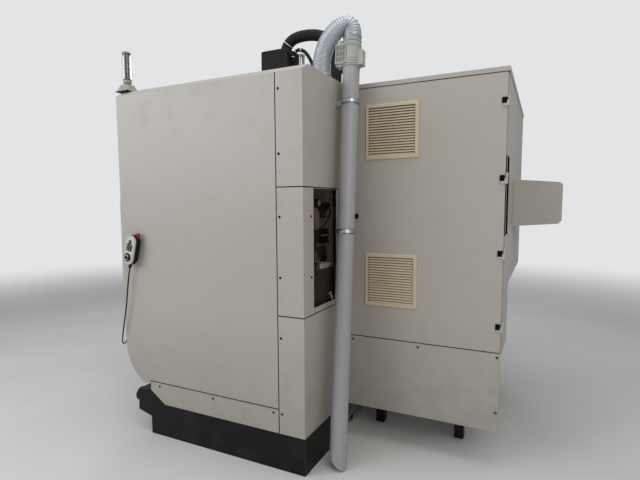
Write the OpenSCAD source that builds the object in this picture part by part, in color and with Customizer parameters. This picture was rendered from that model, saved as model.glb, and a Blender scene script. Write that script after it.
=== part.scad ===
// Vertical machining centre: enclosed mill with a rear electrical cabinet,
// seen with its side covers, extraction pipe and roof services.
// Origin on the floor under the spindle axis, +Z up, operator side at -Y,
// the side with the handwheel pendant at +X.

/* [Enclosure] */
// Width of the enclosure over its side panels
body_w = 2240; // [2100:10:2500]
// Spindle axis to the front skin
front_reach = 560; // [560:10:700]
// Spindle axis to the rear face of the enclosure
rear_reach = 860; // [850:10:950]
// Height of the roof above the floor
body_h = 2350; // [2320:10:2500]
// Width of the sloping edge along each side of the roof
bevel_w = 78; // [50:1:110]
// Drop of the sloping edge
bevel_drop = 42; // [25:1:60]
// Thickness of the cover sheets
sheet = 2.5; // [2:0.5:4]
// Depth of the folded edges of the covers
fold = 28; // [20:1:40]
// Open seam between two covers
seam = 4; // [2:0.5:6]
// Radius of the rounded lower front corner
belly_r = 310; // [250:5:340]
// Height of the centre of that corner
belly_z = 620; // [600:5:660]
// Width of the corner covers on the side
corner_w = 171; // [140:1:200]
// Width of the corner covers on the rear face
corner_rear_w = 556; // [540:1:570]
// Height of the seam between the lower and middle corner covers
seam_low = 935; // [900:5:960]
// Height of the seam between the middle and upper corner covers
seam_high = 1675; // [1640:5:1700]
// Bottom edge of the corner covers
cover_bottom = 226; // [210:1:250]
// Top edge of the lower side cover
strip_top = 372; // [350:1:400]
// Diameter of the cover screw heads
screw_d = 13; // [10:1:16]

/* [Service opening] */
// Inner frame width left of the opening in the rear face
opening_frame = 127; // [110:1:140]
// Width of the opening
opening_w = 320; // [280:5:340]
// Width of the folded post between the corner and the frame
opening_post = 65; // [50:1:80]

/* [Base] */
// Setback of the coolant tank behind the front skin
tank_setback = 213; // [200:5:260]
// Wall of the coolant tank
tank_wall = 5; // [3:1:8]
// Width of the bed casting
bed_w = 800; // [740:10:840]
// Top of the bed casting
bed_top = 520; // [480:10:560]
// Height of the floor pads and levelling screws
foot_h = 60; // [50:5:80]
// Diameter of a floor pad
pad_d = 120; // [90:5:140]
// Radius of an anchor hole in the bed flange
anchor_r = 11; // [9:0.5:13]

/* [Axes] */
// Width of a slideway
way_w = 70; // [60:1:80]
// Height of a slideway
way_h = 40; // [30:1:50]
// Distance of a slideway from the middle
way_offset = 200; // [180:5:220]
// Running gap of the slides
slide_gap = 0.3; // [0.2:0.1:0.5]
// Diameter of the ball screws
screw_shaft_d = 40; // [32:1:50]
// Length of the table
table_l = 900; // [800:10:960]
// Depth of the table
table_d = 460; // [400:10:480]
// Thickness of the table
table_t = 110; // [90:1:120]
// Width of a table slot
slot_w = 18; // [14:1:22]
// Distance between the table slots
slot_pitch = 125; // [100:5:130]

/* [Head] */
// Height of the spindle nose at rest
nose_z = 1560; // [1540:5:1600]
// Width of the head casting
head_w = 280; // [240:5:290]
// Height of the head casting
head_h = 600; // [560:10:620]
// Radius of the spindle
spindle_r = 64; // [55:1:70]
// Running gap between the spindle and its housing
spindle_gap = 0.08; // [0.05:0.01:0.1]
// Width of the motor cover
motor_cover_w = 246; // [230:2:260]
// Height of the motor cover above the head
motor_cover_h = 606; // [580:2:650]
// Setback of the motor behind the spindle axis
motor_back = 75; // [60:5:80]
// Front of the column
column_front = 470; // [460:5:500]
// Width of the column
column_w = 520; // [480:10:560]

/* [Cabinet] */
// Setback of the cabinet door behind the side panel
cab_setback = 572; // [568:1:620]
// Width of the cabinet across the machine
cab_w = 1600; // [1400:10:1650]
// Depth of the cabinet
cab_d = 972; // [900:1:1050]
// Gap between the enclosure and the cabinet
cab_gap = 20; // [10:1:40]
// Top of the cabinet roof
cab_top = 2335; // [2250:5:2400]
// Underside of the cabinet
cab_floor = 1063; // [1000:5:1100]
// Height of the roof edge strip
trim_h = 28; // [20:1:35]
// Thickness of the cabinet door
door_t = 28; // [22:1:35]
// Seam between the door and the lower cover
door_bottom = 704; // [690:1:720]
// Bottom of the lower cover
lower_bottom = 224; // [210:1:240]
// Side of a vent grille
grille_w = 344; // [320:2:360]
// Thickness of a vent grille in front of the door
grille_t = 9; // [6:1:12]
// Number of slats in a vent grille
slat_count = 18; // [14:1:20]
// Height of the middle of the upper grille
grille_high_z = 2029; // [1980:1:2060]
// Height of the middle of the lower grille
grille_low_z = 1090; // [1060:1:1120]
// Front edge of the grilles behind the door's front edge
grille_inset = 130; // [110:1:150]
// Diameter of the hinge pins
hinge_pin_d = 10; // [8:1:12]
// Length of a hinge
hinge_l = 62; // [50:1:70]

/* [Pipe and fan] */
// Outer diameter of the extraction pipe
pipe_d = 105; // [100:1:125]
// Wall of the extraction pipe
pipe_wall = 3.2; // [2.5:0.1:5]
// Outer diameter of the fan body
fan_d = 114; // [112:1:130]
// Diameter of the fan outlet collar
collar_d = 100; // [92:1:106]
// Inner diameter of the flexible duct
duct_bore = 102; // [101:1:108]
// Height of a duct rib
duct_rib = 5; // [3:0.5:7]

/* [Pendant] */
// Width of the handwheel pendant
pendant_w = 92; // [80:1:100]
// Height of the handwheel pendant
pendant_h = 205; // [180:1:220]
// Thickness of the handwheel pendant
pendant_t = 58; // [44:1:64]
// Lean of the hung pendant
pendant_lean = 15; // [12:1:18]
// Diameter of the pendant cable
cable_d = 9; // [8:1:12]

/* [Hidden] */
$fn = 48;

cream = "#c9c4b6";
light_grey = "#bdbab4";
cast_green = "#6f7a74";
steel = "#a9abad";
black = "#1c1c1e";
beige = "#b8ac94";
pvc = "#c6c4c4";

hw = body_w / 2;
front_y = -front_reach;
side_top = body_h - bevel_drop;
corner_y = rear_reach - corner_w;
tank_front_y = front_y + tank_setback;
door_x = hw - cab_setback;
cab_y0 = rear_reach + cab_gap;
cab_y1 = cab_y0 + cab_d;
cab_x0 = door_x - cab_w;
door_top = cab_top - trim_h - 3;
lower_depth = 380;
tank_h = cover_bottom;
fit_gap = 0.3;

// A block given by its two corners
module block(p, q) {
    translate(p) cube(q - p);
}

// An outline in the Y-Z plane pushed along X from x0 to x1
module along_x(x0, x1) {
    translate([x0, 0, 0]) rotate([90, 0, 90]) linear_extrude(x1 - x0) children();
}

// An outline in the X-Z plane pushed along Y from y0 to y1
module along_y(y0, y1) {
    translate([0, y1, 0]) rotate([90, 0, 0]) linear_extrude(y1 - y0) children();
}

// A rounded rectangle about the origin
module round_rect(w, h, r) {
    hull()
        for (sx = [-1, 1], sy = [-1, 1])
            translate([sx * (w / 2 - r), sy * (h / 2 - r)]) circle(r, $fn = 24);
}

// Points of the rounded lower front corner, moved in by inset
function belly_arc(inset, z_end) =
    let (r = belly_r - inset, a_end = asin((belly_z - z_end) / r))
    [for (i = [0 : 10])
        let (a = a_end * i / 10)
        [front_y + belly_r - r * cos(a), belly_z - r * sin(a)]];

panel_foot = strip_top - 20;

// Outline of a side panel, moved in by inset
function side_outline(inset) = concat(
    [[corner_y - seam - inset, side_top - inset], [front_y + inset, side_top - inset]],
    belly_arc(inset, panel_foot + inset),
    [[front_y + tank_setback - inset, panel_foot + inset],
     [front_y + tank_setback - inset, strip_top + seam + inset],
     [corner_y - seam - inset, strip_top + seam + inset]]
);

// A side panel: one sheet with folded edges, outer face at x = hw
module side_pan() {
    along_x(hw - sheet, hw) polygon(side_outline(0));
    along_x(hw - fold, hw - sheet) difference() {
        polygon(side_outline(0));
        polygon(side_outline(sheet));
    }
}

module side_panel_right() {
    color(cream) side_pan();
}

module side_panel_left() {
    color(cream) mirror([1, 0, 0]) {
        side_pan();
        strip_pan();
    }
}

// Heights and places of the lower side cover
strip_front = tank_front_y + 4;
strip_slope = 124;

// The lower side cover: a sheet strip with a slanting front end
module strip_outline(inset) {
    polygon([
        [corner_y - seam - inset, strip_top - inset],
        [strip_front + inset, strip_top - inset],
        [strip_front + inset, strip_top - 62],
        [strip_front + strip_slope + inset, cover_bottom + inset],
        [corner_y - seam - inset, cover_bottom + inset]
    ]);
}

module strip_pan() {
    along_x(hw - sheet, hw) strip_outline(0);
    along_x(hw - fold + 4, hw - sheet) difference() {
        strip_outline(0);
        strip_outline(sheet);
    }
}

head_out = 2.5;

// A screw head on the side, let into its sheet by half the sheet
module screw_head_x(y, z, x = hw) {
    translate([x - sheet / 2, y, z]) rotate([0, 90, 0])
        cylinder(d = screw_d, h = head_out + sheet / 2, $fn = 24);
}

module lower_side_cover() {
    color(cream) strip_pan();
    color(black)
        for (y = [strip_front + 82, strip_front + 540, corner_y - 40])
            screw_head_x(y, strip_top - 25);
}

// Profile of a corner cover from above: the side leg and the rear leg
module corner_plan(inset) {
    polygon([
        [hw - inset, corner_y + inset],
        [hw - inset, rear_reach - inset],
        [hw - corner_rear_w + inset, rear_reach - inset],
        [hw - corner_rear_w + inset, rear_reach - sheet],
        [hw - sheet, rear_reach - sheet],
        [hw - sheet, corner_y + inset]
    ]);
}

// A corner cover between two heights, with its folded front edge
module corner_sheet(z0, z1) {
    translate([0, 0, z0]) linear_extrude(z1 - z0) corner_plan(0);
    block([hw - fold, corner_y, z0], [hw - sheet / 2, corner_y + sheet, z1]);
    block([hw - corner_rear_w, rear_reach - fold, z0],
          [hw - corner_rear_w + sheet, rear_reach - sheet / 2, z1]);
}

module corner_screws(z0, z1) {
    color(black)
        for (z = [z0 + 90, z1 - 90])
            screw_head_x(corner_y + 18, z);
}

module corner_cover_upper() {
    color(cream) {
        difference() {
            corner_sheet(seam_high + seam, body_h - sheet);
            along_y(corner_y - 1, rear_reach - sheet) polygon([
                [hw + 1, side_top], [hw + 1, body_h + 1], [hw - fold - 1, body_h + 1],
                    [hw - fold - 1, side_top]
            ]);
            along_y(corner_y - 1, rear_reach + 1) polygon([
                [hw + 1, side_top - bevel_drop / bevel_w], [hw + 1, body_h + 1],
                [hw - bevel_w, body_h + 1], [hw - bevel_w, body_h]
            ]);
        }
    }
    corner_screws(seam_high + seam, side_top);
}

open_x1 = hw - opening_frame;
open_x0 = open_x1 - opening_w;
open_z0 = seam_low + 36;
open_z1 = seam_high - 4;

module corner_cover_middle() {
    color(cream) difference() {
        corner_sheet(seam_low + seam, seam_high);
        block([open_x0, rear_reach - 2 * sheet, open_z0], [open_x1, rear_reach + 1, open_z1]);
    }
    // The folded post beside the opening
    color(cream)
        block([hw - opening_frame, rear_reach - fold, seam_low + seam],
              [hw - opening_frame + sheet, rear_reach - sheet / 2, seam_high]);
    color(black)
        for (z = [seam_low + 225, seam_high - 165])
            translate([hw - opening_post - 30, rear_reach - sheet / 2, z])
                rotate([-90, 0, 0]) cylinder(d = screw_d, h = head_out + sheet / 2, $fn = 24);
    corner_screws(seam_low + seam, seam_high);
}

module corner_cover_lower() {
    color(cream) corner_sheet(cover_bottom, seam_low);
    corner_screws(cover_bottom + 40, seam_low);
}

// The rear cover on the other side reaches the cabinet in one height
module rear_cover_left() {
    color(cream) mirror([1, 0, 0]) difference() {
        corner_sheet(cover_bottom, body_h - sheet);
        along_y(corner_y - 1, rear_reach - sheet) polygon([
            [hw + 1, side_top], [hw + 1, body_h + 1], [hw - fold - 1, body_h + 1], [hw - fold - 1, side_top]
        ]);
        along_y(corner_y - 1, rear_reach + 1) polygon([
            [hw + 1, side_top - bevel_drop / bevel_w], [hw + 1, body_h + 1],
            [hw - bevel_w, body_h + 1], [hw - bevel_w, body_h]
        ]);
    }
}

// Roof openings: the head well and the duct spigot
well_x = motor_cover_w / 2 + 45;
well_y0 = motor_back - motor_cover_w / 2 - 40;
well_y1 = 420;
duct_x = hw - 420;
duct_y = rear_reach - 83;
spigot_h = 28;

module roof_outline(drop) {
    polygon([
        [-hw, side_top], [-hw + bevel_w, body_h], [hw - bevel_w, body_h], [hw, side_top],
        [hw - drop, side_top], [hw - bevel_w - drop / 2, body_h - drop],
        [-hw + bevel_w + drop / 2, body_h - drop], [-hw + drop, side_top]
    ]);
}

module roof_panel() {
    color(cream) {
        difference() {
            along_y(front_y + 3, rear_reach - sheet) roof_outline(sheet);
            block([-well_x, well_y0, body_h - 10], [well_x, well_y1, body_h + 10]);
            translate([duct_x, duct_y, body_h - 10]) cylinder(r = duct_bore / 2 - 4, h = 20);
            translate([0, conduit_end_y, body_h - 10]) cylinder(r = conduit_d / 2 - 8, h = 20);
        }
        // The raised edge round the head well
        difference() {
            block([-well_x - 4, well_y0 - 4, body_h], [well_x + 4, well_y1 + 4, body_h + 25]);
            block([-well_x, well_y0, body_h - 10], [well_x, well_y1, body_h + 26]);
        }
        // The spigot that the duct is pushed over
        translate([duct_x, duct_y, body_h]) difference() {
            cylinder(r = duct_bore / 2 - 0.5, h = spigot_h);
            translate([0, 0, -1]) cylinder(r = duct_bore / 2 - 4, h = spigot_h + 2);
        }
    }
}

// Door opening in the front
door_w = 560;
door_mid_x = -50;
door_z0 = 720;
door_z1 = 1980;
door_open_x0 = door_mid_x - door_w + 20;
door_open_x1 = door_mid_x + door_w - 20;
door_plane = front_y + 8;
door_depth = 30;
door_rear = door_plane + door_depth;
rail_x = hw - fold - fit_gap;
rail_z = door_z0 - 34;
front_sheet = 3;

module front_profile(t) {
    polygon(concat(
        [[front_y + t, side_top], [front_y, side_top]],
        belly_arc(0, panel_foot),
        [for (i = [10 : -1 : 0]) belly_arc(t, panel_foot)[i]]
    ));
}

module front_frame() {
    color(cream) {
        difference() {
            along_x(-hw + fold + fit_gap, hw - fold - fit_gap) front_profile(front_sheet);
            block([door_open_x0, front_y - 1, door_z0 + 20], [door_open_x1, front_y + 10, door_z1 - 20]);
        }
        // Apron under the rounded corner, back to the tank
        block([-rail_x, front_y + 154, panel_foot - 3], [rail_x, tank_front_y, panel_foot]);
        block([-rail_x, tank_front_y, tank_h], [hw - outlet_w - fit_gap, tank_front_y + 3, panel_foot]);
        // Lower door rail with the rib that the doors run on
        block([-rail_x, front_y + front_sheet, rail_z], [rail_x, guard_front, rail_z + 3]);
        block([-rail_x, door_plane + 12, rail_z + 3], [rail_x, door_plane + 18, door_z0 - fit_gap]);
        // Upper door rail with its hanging lip
        block([-rail_x, front_y + front_sheet, door_z1 + fit_gap], [rail_x, guard_front, door_z1 + 4]);
        block([-rail_x, door_rear + 0.5, door_z1 - 22], [rail_x, door_rear + 3.5, door_z1 + fit_gap]);
    }
}

// Walls and floor round the working space
guard_x = 900;
guard_front = door_rear + 26;
guard_rear = column_front - 12;
guard_top = 1480;
guard_low = bed_top + 40;

module work_guard() {
    color(light_grey) {
        for (sx = [-1, 1]) mirror([sx < 0 ? 1 : 0, 0, 0]) {
            block([guard_x, guard_front, guard_low + 120], [guard_x + sheet, guard_rear, guard_top]);
            along_y(guard_front, guard_rear) polygon([
                [bed_w / 2 + fit_gap, guard_low - 60], [guard_x + sheet, guard_low + 120],
                [guard_x + sheet, guard_low + 120 + sheet], [bed_w / 2 + fit_gap, guard_low - 60 + sheet]
            ]);
            block([column_w / 2 + 4, guard_rear - sheet, guard_low + 150], [guard_x, guard_rear, guard_top]);
        }
        block([-guard_x, guard_front, guard_low + 120], [guard_x, guard_front + sheet, door_z0 - 30]);
    }
}

// Bed, column and slides
bed_front = front_y + 130;
flange_w = 60;
anchor_x = bed_w / 2 + flange_w / 2;
anchor_y0 = -180;
anchor_y1 = rear_reach - 60;
way_z = bed_top + way_h;

module bed_casting() {
    color(cast_green) {
        difference() {
            union() {
                along_x(-bed_w / 2, bed_w / 2) polygon([
                    [-230, foot_h], [rear_reach - 10, foot_h], [rear_reach - 10, bed_top],
                    [bed_front, bed_top], [bed_front, bed_top - 110], [tank_front_y + 12, bed_top - 152],
                    [-230, bed_top - 260]
                ]);
                block([-bed_w / 2 - flange_w, -230, foot_h],
                    [bed_w / 2 + flange_w, rear_reach - 10, foot_h + 30]);
                for (sx = [-1, 1])
                    block([sx * way_offset - way_w / 2, bed_front, bed_top],
                          [sx * way_offset + way_w / 2, column_front - 30, way_z]);
            }
            for (sx = [-1, 1], y = [anchor_y0, anchor_y1])
                translate([sx * anchor_x, y, foot_h - 1]) cylinder(r = anchor_r, h = 32);
            // Core holes in the sides and the trough under the ball screw
            for (y = [-60, 220, 500])
                translate([-bed_w, y, 290]) rotate([0, 90, 0]) cylinder(d = 130, h = 2 * bed_w);
            block([-90, bed_front - 1, bed_top - 70], [90, column_front - 60, bed_top + 1]);
        }
        // Bearing blocks of the Y ball screw
        for (y = [bed_front + 20, column_front - 110])
            difference() {
                block([-60, y, bed_top - 70], [60, y + 40, y_screw_z + 35]);
                translate([0, y - 1, y_screw_z]) rotate([-90, 0, 0])
                    cylinder(r = screw_shaft_d / 2 + 0.08, h = 42);
            }
    }
}

column_top = body_h - 100;

module column() {
    color(cast_green) {
        difference() {
            union() {
                along_x(-column_w / 2, column_w / 2) polygon([
                    [column_front, bed_top], [rear_reach - 12, bed_top], [rear_reach - 12, 1500],
                    [rear_reach - 90, column_top], [column_front, column_top]
                ]);
                for (sx = [-1, 1])
                    block([sx * 150 - way_w / 2, column_front - 30, 900],
                          [sx * 150 + way_w / 2, column_front, column_top]);
            }
            // Light-weight pockets in the sides
            for (z = [700, 1130, 1560])
                translate([-column_w, 0, 0]) along_x(0, 2 * column_w)
                    translate([column_front + 190, z + 160]) round_rect(200, 320, 60);
            block([-75, column_front - 1, 880], [75, column_front + 60, column_top + 1]);
        }
        for (z = [890, column_top - 60])
            difference() {
                block([-60, column_front - 45, z], [60, column_front + 60, z + 40]);
                translate([0, z_screw_y, z - 1]) cylinder(r = screw_shaft_d / 2 + 0.08, h = 42);
            }
    }
}

module anchor_pads() {
    color(steel) {
        for (sx = [-1, 1], y = [anchor_y0 + 20, (anchor_y0 + anchor_y1) / 2, anchor_y1 - 20])
            translate([sx * (bed_w / 2 - 60), y, 0]) {
                cylinder(d = pad_d, h = 22);
                cylinder(d = 36, h = foot_h);
            }
        cylinder(d = pad_d, h = 22);
        cylinder(d = 36, h = foot_h);
    }
}

tank_in = bed_w / 2 + flange_w + 40;
hump_top = 312;

module tank_plan(inset) {
    polygon([
        [-hw + inset, tank_front_y + inset], [hw - inset, tank_front_y + inset],
        [hw - inset, rear_reach - inset], [tank_in + inset, rear_reach - inset],
        [tank_in + inset, -250 - inset], [-tank_in - inset, -250 - inset],
        [-tank_in - inset, rear_reach - inset], [-hw + inset, rear_reach - inset]
    ]);
}

outlet_w = 150;

module base_tank() {
    color(black) {
        difference() {
            union() {
                linear_extrude(tank_h) tank_plan(0);
                // Raised outlet box in front of the lower side cover
                along_x(hw - outlet_w, hw) polygon([
                    [tank_front_y + 120, tank_h - 1], [tank_front_y, hump_top],
                        [tank_front_y - 110, hump_top - 12],
                    [tank_front_y - 118, 150], [tank_front_y + 1, 120], [tank_front_y + 120, 120]
                ]);
            }
            translate([0, 0, tank_wall]) linear_extrude(tank_h) tank_plan(tank_wall);
        }
        // Inner web that closes the outlet box towards the tank
        block([hw - outlet_w, tank_front_y + 5, 120], [hw - tank_wall, tank_front_y + 10, tank_h]);
        // Hose spigot on the outlet box
        translate([hw - outlet_w / 2, tank_front_y - 111, 225]) rotate([90, 0, 0]) difference() {
            cylinder(d = 96, h = 62);
            translate([0, 0, 15]) cylinder(d = 84, h = 60);
        }
    }
}

y_screw_z = bed_top + 10;
z_screw_y = column_front - 10;

// A ball screw along X, centred, with its thread left plain
module ball_screw(l) {
    rotate([0, 90, 0]) cylinder(d = screw_shaft_d, h = l, center = true);
}

module y_screw() {
    color(steel) translate([0, (bed_front + column_front - 60) / 2, y_screw_z])
        rotate([0, 0, 90]) ball_screw(column_front - 72 - bed_front);
}

module z_screw() {
    color(steel) translate([0, z_screw_y, (890 + column_top) / 2])
        rotate([0, 90, 0]) ball_screw(column_top - 890 - 2);
}

module z_motor() {
    color(black) {
        translate([0, z_screw_y, column_top]) {
            translate([-60, -42, 0.3]) cube([120, 150, 14]);
            translate([-60, -42, 14.3]) cube([120, 120, 55]);
        }
    }
}

saddle_z0 = way_z + slide_gap;
saddle_h = 110;
saddle_top = saddle_z0 + saddle_h;
x_way_h = 34;
x_screw_z = saddle_top + 5;

module saddle() {
    color(cast_green) {
        difference() {
            union() {
                block([-way_offset - 90, -240, bed_top + 6], [way_offset + 90, 240, saddle_top]);
                for (sy = [-1, 1])
                    block([-way_offset - 90, sy * 150 - way_w / 2, saddle_top],
                          [way_offset + 90, sy * 150 + way_w / 2, saddle_top + x_way_h]);
            }
            for (sx = [-1, 1])
                block([sx * way_offset - way_w / 2 - slide_gap, -241, bed_top],
                      [sx * way_offset + way_w / 2 + slide_gap, 241, way_z + slide_gap]);
            block([-100, -241, bed_top], [100, 241, y_screw_z + 60]);
            // Trough that the X ball screw and its bearings run in
            block([-way_offset - 91, -62, saddle_top - 32], [way_offset + 91, 62, saddle_top + 1]);
        }
        // Ball nut of the Y axis
        difference() {
            block([-50, -45, y_screw_z - 36], [50, 45, y_screw_z + 60]);
            translate([0, -46, y_screw_z]) rotate([-90, 0, 0]) cylinder(r = screw_shaft_d / 2 + 0.08, h = 92);
        }
        // Ball nut of the X axis
        difference() {
            block([-45, -36, saddle_top - 33], [45, 36, x_screw_z + 30]);
            translate([-46, 0, x_screw_z]) rotate([0, 90, 0]) cylinder(r = screw_shaft_d / 2 + 0.08, h = 92);
        }
    }
}

module x_screw() {
    color(steel) translate([0, 0, x_screw_z]) ball_screw(table_l - 12);
}

table_z0 = saddle_top + x_way_h + slide_gap;
table_top = table_z0 + table_t;

module table() {
    color(steel) {
        difference() {
            block([-table_l / 2, -table_d / 2, table_z0 - 26], [table_l / 2, table_d / 2, table_top]);
            for (sy = [-1, 1])
                block([-table_l, sy * 150 - way_w / 2 - slide_gap, table_z0 - 27],
                      [table_l, sy * 150 + way_w / 2 + slide_gap, table_z0]);
            block([-table_l, -70, table_z0 - 27], [table_l, 70, table_z0 + 14]);
            for (i = [-1 : 1]) {
                block([-table_l, i * slot_pitch - slot_w / 2, table_top - 34],
                      [table_l, i * slot_pitch + slot_w / 2, table_top + 1]);
                block([-table_l, i * slot_pitch - slot_w, table_top - 34],
                      [table_l, i * slot_pitch + slot_w, table_top - 20]);
            }
        }
        // Bearing blocks of the X ball screw under both ends
        for (sx = [-1, 1])
            difference() {
                translate([sx * (table_l / 2 - 20) - 17, -50, saddle_top - 22])
                    cube([34, 100, table_z0 + 15 - saddle_top + 22]);
                translate([sx * (table_l / 2 - 20) - 18, 0, x_screw_z]) rotate([0, 90, 0])
                    cylinder(r = screw_shaft_d / 2 + 0.08, h = 36);
            }
    }
}

head_top = nose_z + 40 + head_h;
motor_cover_top = head_top + motor_cover_h;
carriage_front = column_front - 30 - slide_gap;

module headstock() {
    color(cream) {
        difference() {
            union() {
                // Sloping casting from the slide to the spindle housing
                along_x(-head_w / 2, head_w / 2) polygon([
                    [-110, nose_z + 130], [110, nose_z + 60], [carriage_front - 40, nose_z + 40],
                    [carriage_front - 40, head_top], [-90, head_top], [-130, head_top - 160]
                ]);
                block([-195, carriage_front - 60, nose_z + 40], [195, carriage_front, head_top]);
                translate([0, 0, nose_z + 12]) cylinder(r = 110, h = 300);
            }
            translate([0, 0, nose_z - 1]) cylinder(r = spindle_r + spindle_gap, h = 420);
            translate([0, 0, nose_z + 400]) cylinder(r = 60, h = head_h);
            block([-75, carriage_front - 30, nose_z + 39], [75, carriage_front + 1, head_top + 1]);
        }
        // Ball nut of the Z axis
        difference() {
            block([-52, carriage_front - 31, nose_z + 200], [52, carriage_front + 22, nose_z + 320]);
            translate([0, z_screw_y, nose_z + 199]) cylinder(r = screw_shaft_d / 2 + 0.08, h = 122);
        }
    }
}

module spindle() {
    color(steel) translate([0, 0, nose_z]) difference() {
        union() {
            cylinder(r = spindle_r, h = 400);
            cylinder(r = spindle_r + 18, h = 11);
        }
        // Tool taper and the draw bar bore
        translate([0, 0, -1]) cylinder(r1 = 22.4, r2 = 12.7, h = 68);
        translate([0, 0, 66]) cylinder(r = 12.7, h = 400);
        for (sx = [-1, 1])
            translate([sx * (spindle_r - 20) - 10, -8, -1]) cube([20, 16, 9]);
    }
}

module spindle_motor() {
    color(black) translate([0, motor_back, head_top]) {
        translate([-95, -95, 0]) cube([190, 190, 18]);
        translate([0, 0, 18]) cylinder(r = 92, h = 330);
        translate([0, 0, 348]) cylinder(r = 80, h = 70);
    }
}

cover_h = motor_cover_top - head_top - fit_gap;
boot_y = motor_back + 42;

// A moulded cover: its top edges are rounded, its sides have louvres, a boot for the conduit stands
// on its top and an elbow for the thin hose on its rear face
module motor_cover() {
    color(black) translate([0, motor_back, motor_cover_top - cover_h]) difference() {
        union() {
            hull() {
                linear_extrude(cover_h - 12) round_rect(motor_cover_w, motor_cover_w, 8);
                linear_extrude(cover_h - 4) round_rect(motor_cover_w - 8, motor_cover_w - 8, 6);
                linear_extrude(cover_h) round_rect(motor_cover_w - 22, motor_cover_w - 22, 4);
            }
            translate([0, boot_y - motor_back, cover_h - 1])
                cylinder(d1 = conduit_d + 26, d2 = conduit_d + 16, h = 13);
        }
        translate([-motor_cover_w / 2 + 3, -motor_cover_w / 2 + 3, -1])
            cube([motor_cover_w - 6, motor_cover_w - 6, cover_h - 14]);
        for (z = [30 : 22 : 118], sx = [-1, 1])
            translate([sx * motor_cover_w / 2 - 5, -70, z]) cube([10, 140, 8]);
    }
    color(steel) translate([hose_x, motor_back + motor_cover_w / 2 - 1, hose_z0 - 14]) {
        rotate([-90, 0, 0]) cylinder(d = 20, h = 17);
        translate([0, 17, -15]) cylinder(d = 28, h = 29);
    }
}

module balance_cylinder() {
    color(steel) translate([0, 253, 0]) {
        translate([-38, -38, head_top]) cube([76, 76, 14]);
        translate([0, 0, head_top + 14]) cylinder(d = 58, h = 2752 - head_top - 14);
        translate([0, 0, 2752]) cylinder(d = 64, h = 16);
        translate([0, 0, 2768]) cylinder(d1 = 34, d2 = 28, h = 10);
    }
}

arm_x = -235;
drum_x = -490;
drum_y = 170;
drum_z = 1760;
drum_r = 215;
pocket_count = 16;

module magazine_bracket() {
    color(cast_green) {
        block([-660, drum_y - 120, drum_z - 120], [-640, 600, drum_z + 120]);
        block([-640, 540, drum_z - 100], [-column_w / 2, 600, drum_z + 100]);
        translate([-640, drum_y, drum_z]) rotate([0, 90, 0]) cylinder(d = 60, h = 130);
        // Gearbox of the change arm and its beam to the column
        block([-320, -60, nose_z + 40], [-180, 90, nose_z + 220]);
        block([-320, 90, nose_z + 60], [-205, column_front, nose_z + 180]);
    }
}

module magazine_drum() {
    color(steel) translate([drum_x - 125, drum_y, drum_z]) rotate([0, 90, 0]) difference() {
        union() {
            cylinder(r = drum_r - 30, h = 24);
            cylinder(r = 60, h = 80);
            for (i = [0 : pocket_count - 1])
                rotate([0, 0, i * 360 / pocket_count]) translate([drum_r, 0, 0]) {
                    cylinder(d = 62, h = 60);
                    translate([-60, -12, 0]) cube([60, 24, 20]);
                    translate([0, 0, 60]) cylinder(d = 63, h = 14);
                    translate([0, 0, 74]) cylinder(d = 36, h = 46);
                }
        }
        translate([0, 0, -1]) cylinder(d = 60.16, h = 90);
    }
}

module change_arm() {
    color(steel) translate([arm_x, 0, nose_z - 62]) {
        difference() {
            union() {
                cylinder(r = 42, h = 28);
                for (a = [90, 270]) rotate([0, 0, a]) {
                    translate([0, -24, 0]) cube([-arm_x - 30, 48, 28]);
                    translate([-arm_x, 0, 0]) cylinder(r = 46, h = 28);
                }
            }
            for (a = [90, 270]) rotate([0, 0, a]) {
                translate([-arm_x, 0, -1]) cylinder(r = 31.5, h = 30);
                translate([-arm_x, 0, -1]) cube([60, 40, 30]);
            }
        }
        translate([0, 0, 28]) cylinder(r = 26, h = 73.7);
    }
}

// One sliding door, its inner edge at x = door_mid_x; side is -1 or 1
win_w = 330;
win_h = 640;
win_z = 1130;

module door_pan(side) {
    x_in = door_mid_x + side * 1;
    x_out = door_mid_x + side * (door_w - 2);
    xa = min(x_in, x_out);
    xb = max(x_in, x_out);
    xm = (xa + xb) / 2;
    color(cream) {
        difference() {
            block([xa, door_plane, door_z0], [xb, door_plane + door_depth, door_z1]);
            block([xa + 3, door_plane + 3, door_z0 + 3], [xb - 3, door_plane + door_depth + 1, door_z1 - 3]);
            block([xm - win_w / 2, door_plane - 1, win_z], [xm + win_w / 2, door_plane + 4, win_z + win_h]);
        }
        // Frame that holds the window from inside
        difference() {
            block([xm - win_w / 2 - 25, door_plane + 3, win_z - 25],
                  [xm + win_w / 2 + 25, door_plane + 11, win_z + win_h + 25]);
            block([xm - win_w / 2, door_plane + 2, win_z], [xm + win_w / 2, door_plane + 12, win_z + win_h]);
            block([xm - win_w / 2 - 12, door_plane + 3, win_z - 12],
                  [xm + win_w / 2 + 12, door_plane + 3 + 6.4, win_z + win_h + 12]);
        }
    }
    // Upright grab handle
    color(black) {
        hx = door_mid_x + side * 45;
        for (z = [1180, 1480])
            block([hx - 9, door_plane - 40, z], [hx + 9, door_plane, z + 24]);
        translate([hx, door_plane - 40, 1160]) cylinder(d = 26, h = 364);
    }
}

module window_pane(side) {
    x_in = door_mid_x + side * 1;
    x_out = door_mid_x + side * (door_w - 2);
    xm = (x_in + x_out) / 2;
    color("#9fb4b8", 0.4)
        block([xm - win_w / 2 - 11.8, door_plane + 3.2, win_z - 11.8],
              [xm + win_w / 2 + 11.8, door_plane + 9.2, win_z + win_h + 11.8]);
}

module door_left() {
    door_pan(-1);
}

module door_right() {
    door_pan(1);
}

module window_left() {
    window_pane(-1);
}

module window_right() {
    window_pane(1);
}

// Operator panel on the front, right of the doors
panel_x1 = hw - 60;
panel_x0 = panel_x1 - 480;
panel_z0 = 1020;
panel_z1 = 1640;
panel_out = 76;
gland = [panel_x1 - 56, front_y - 40, 1010];

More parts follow.
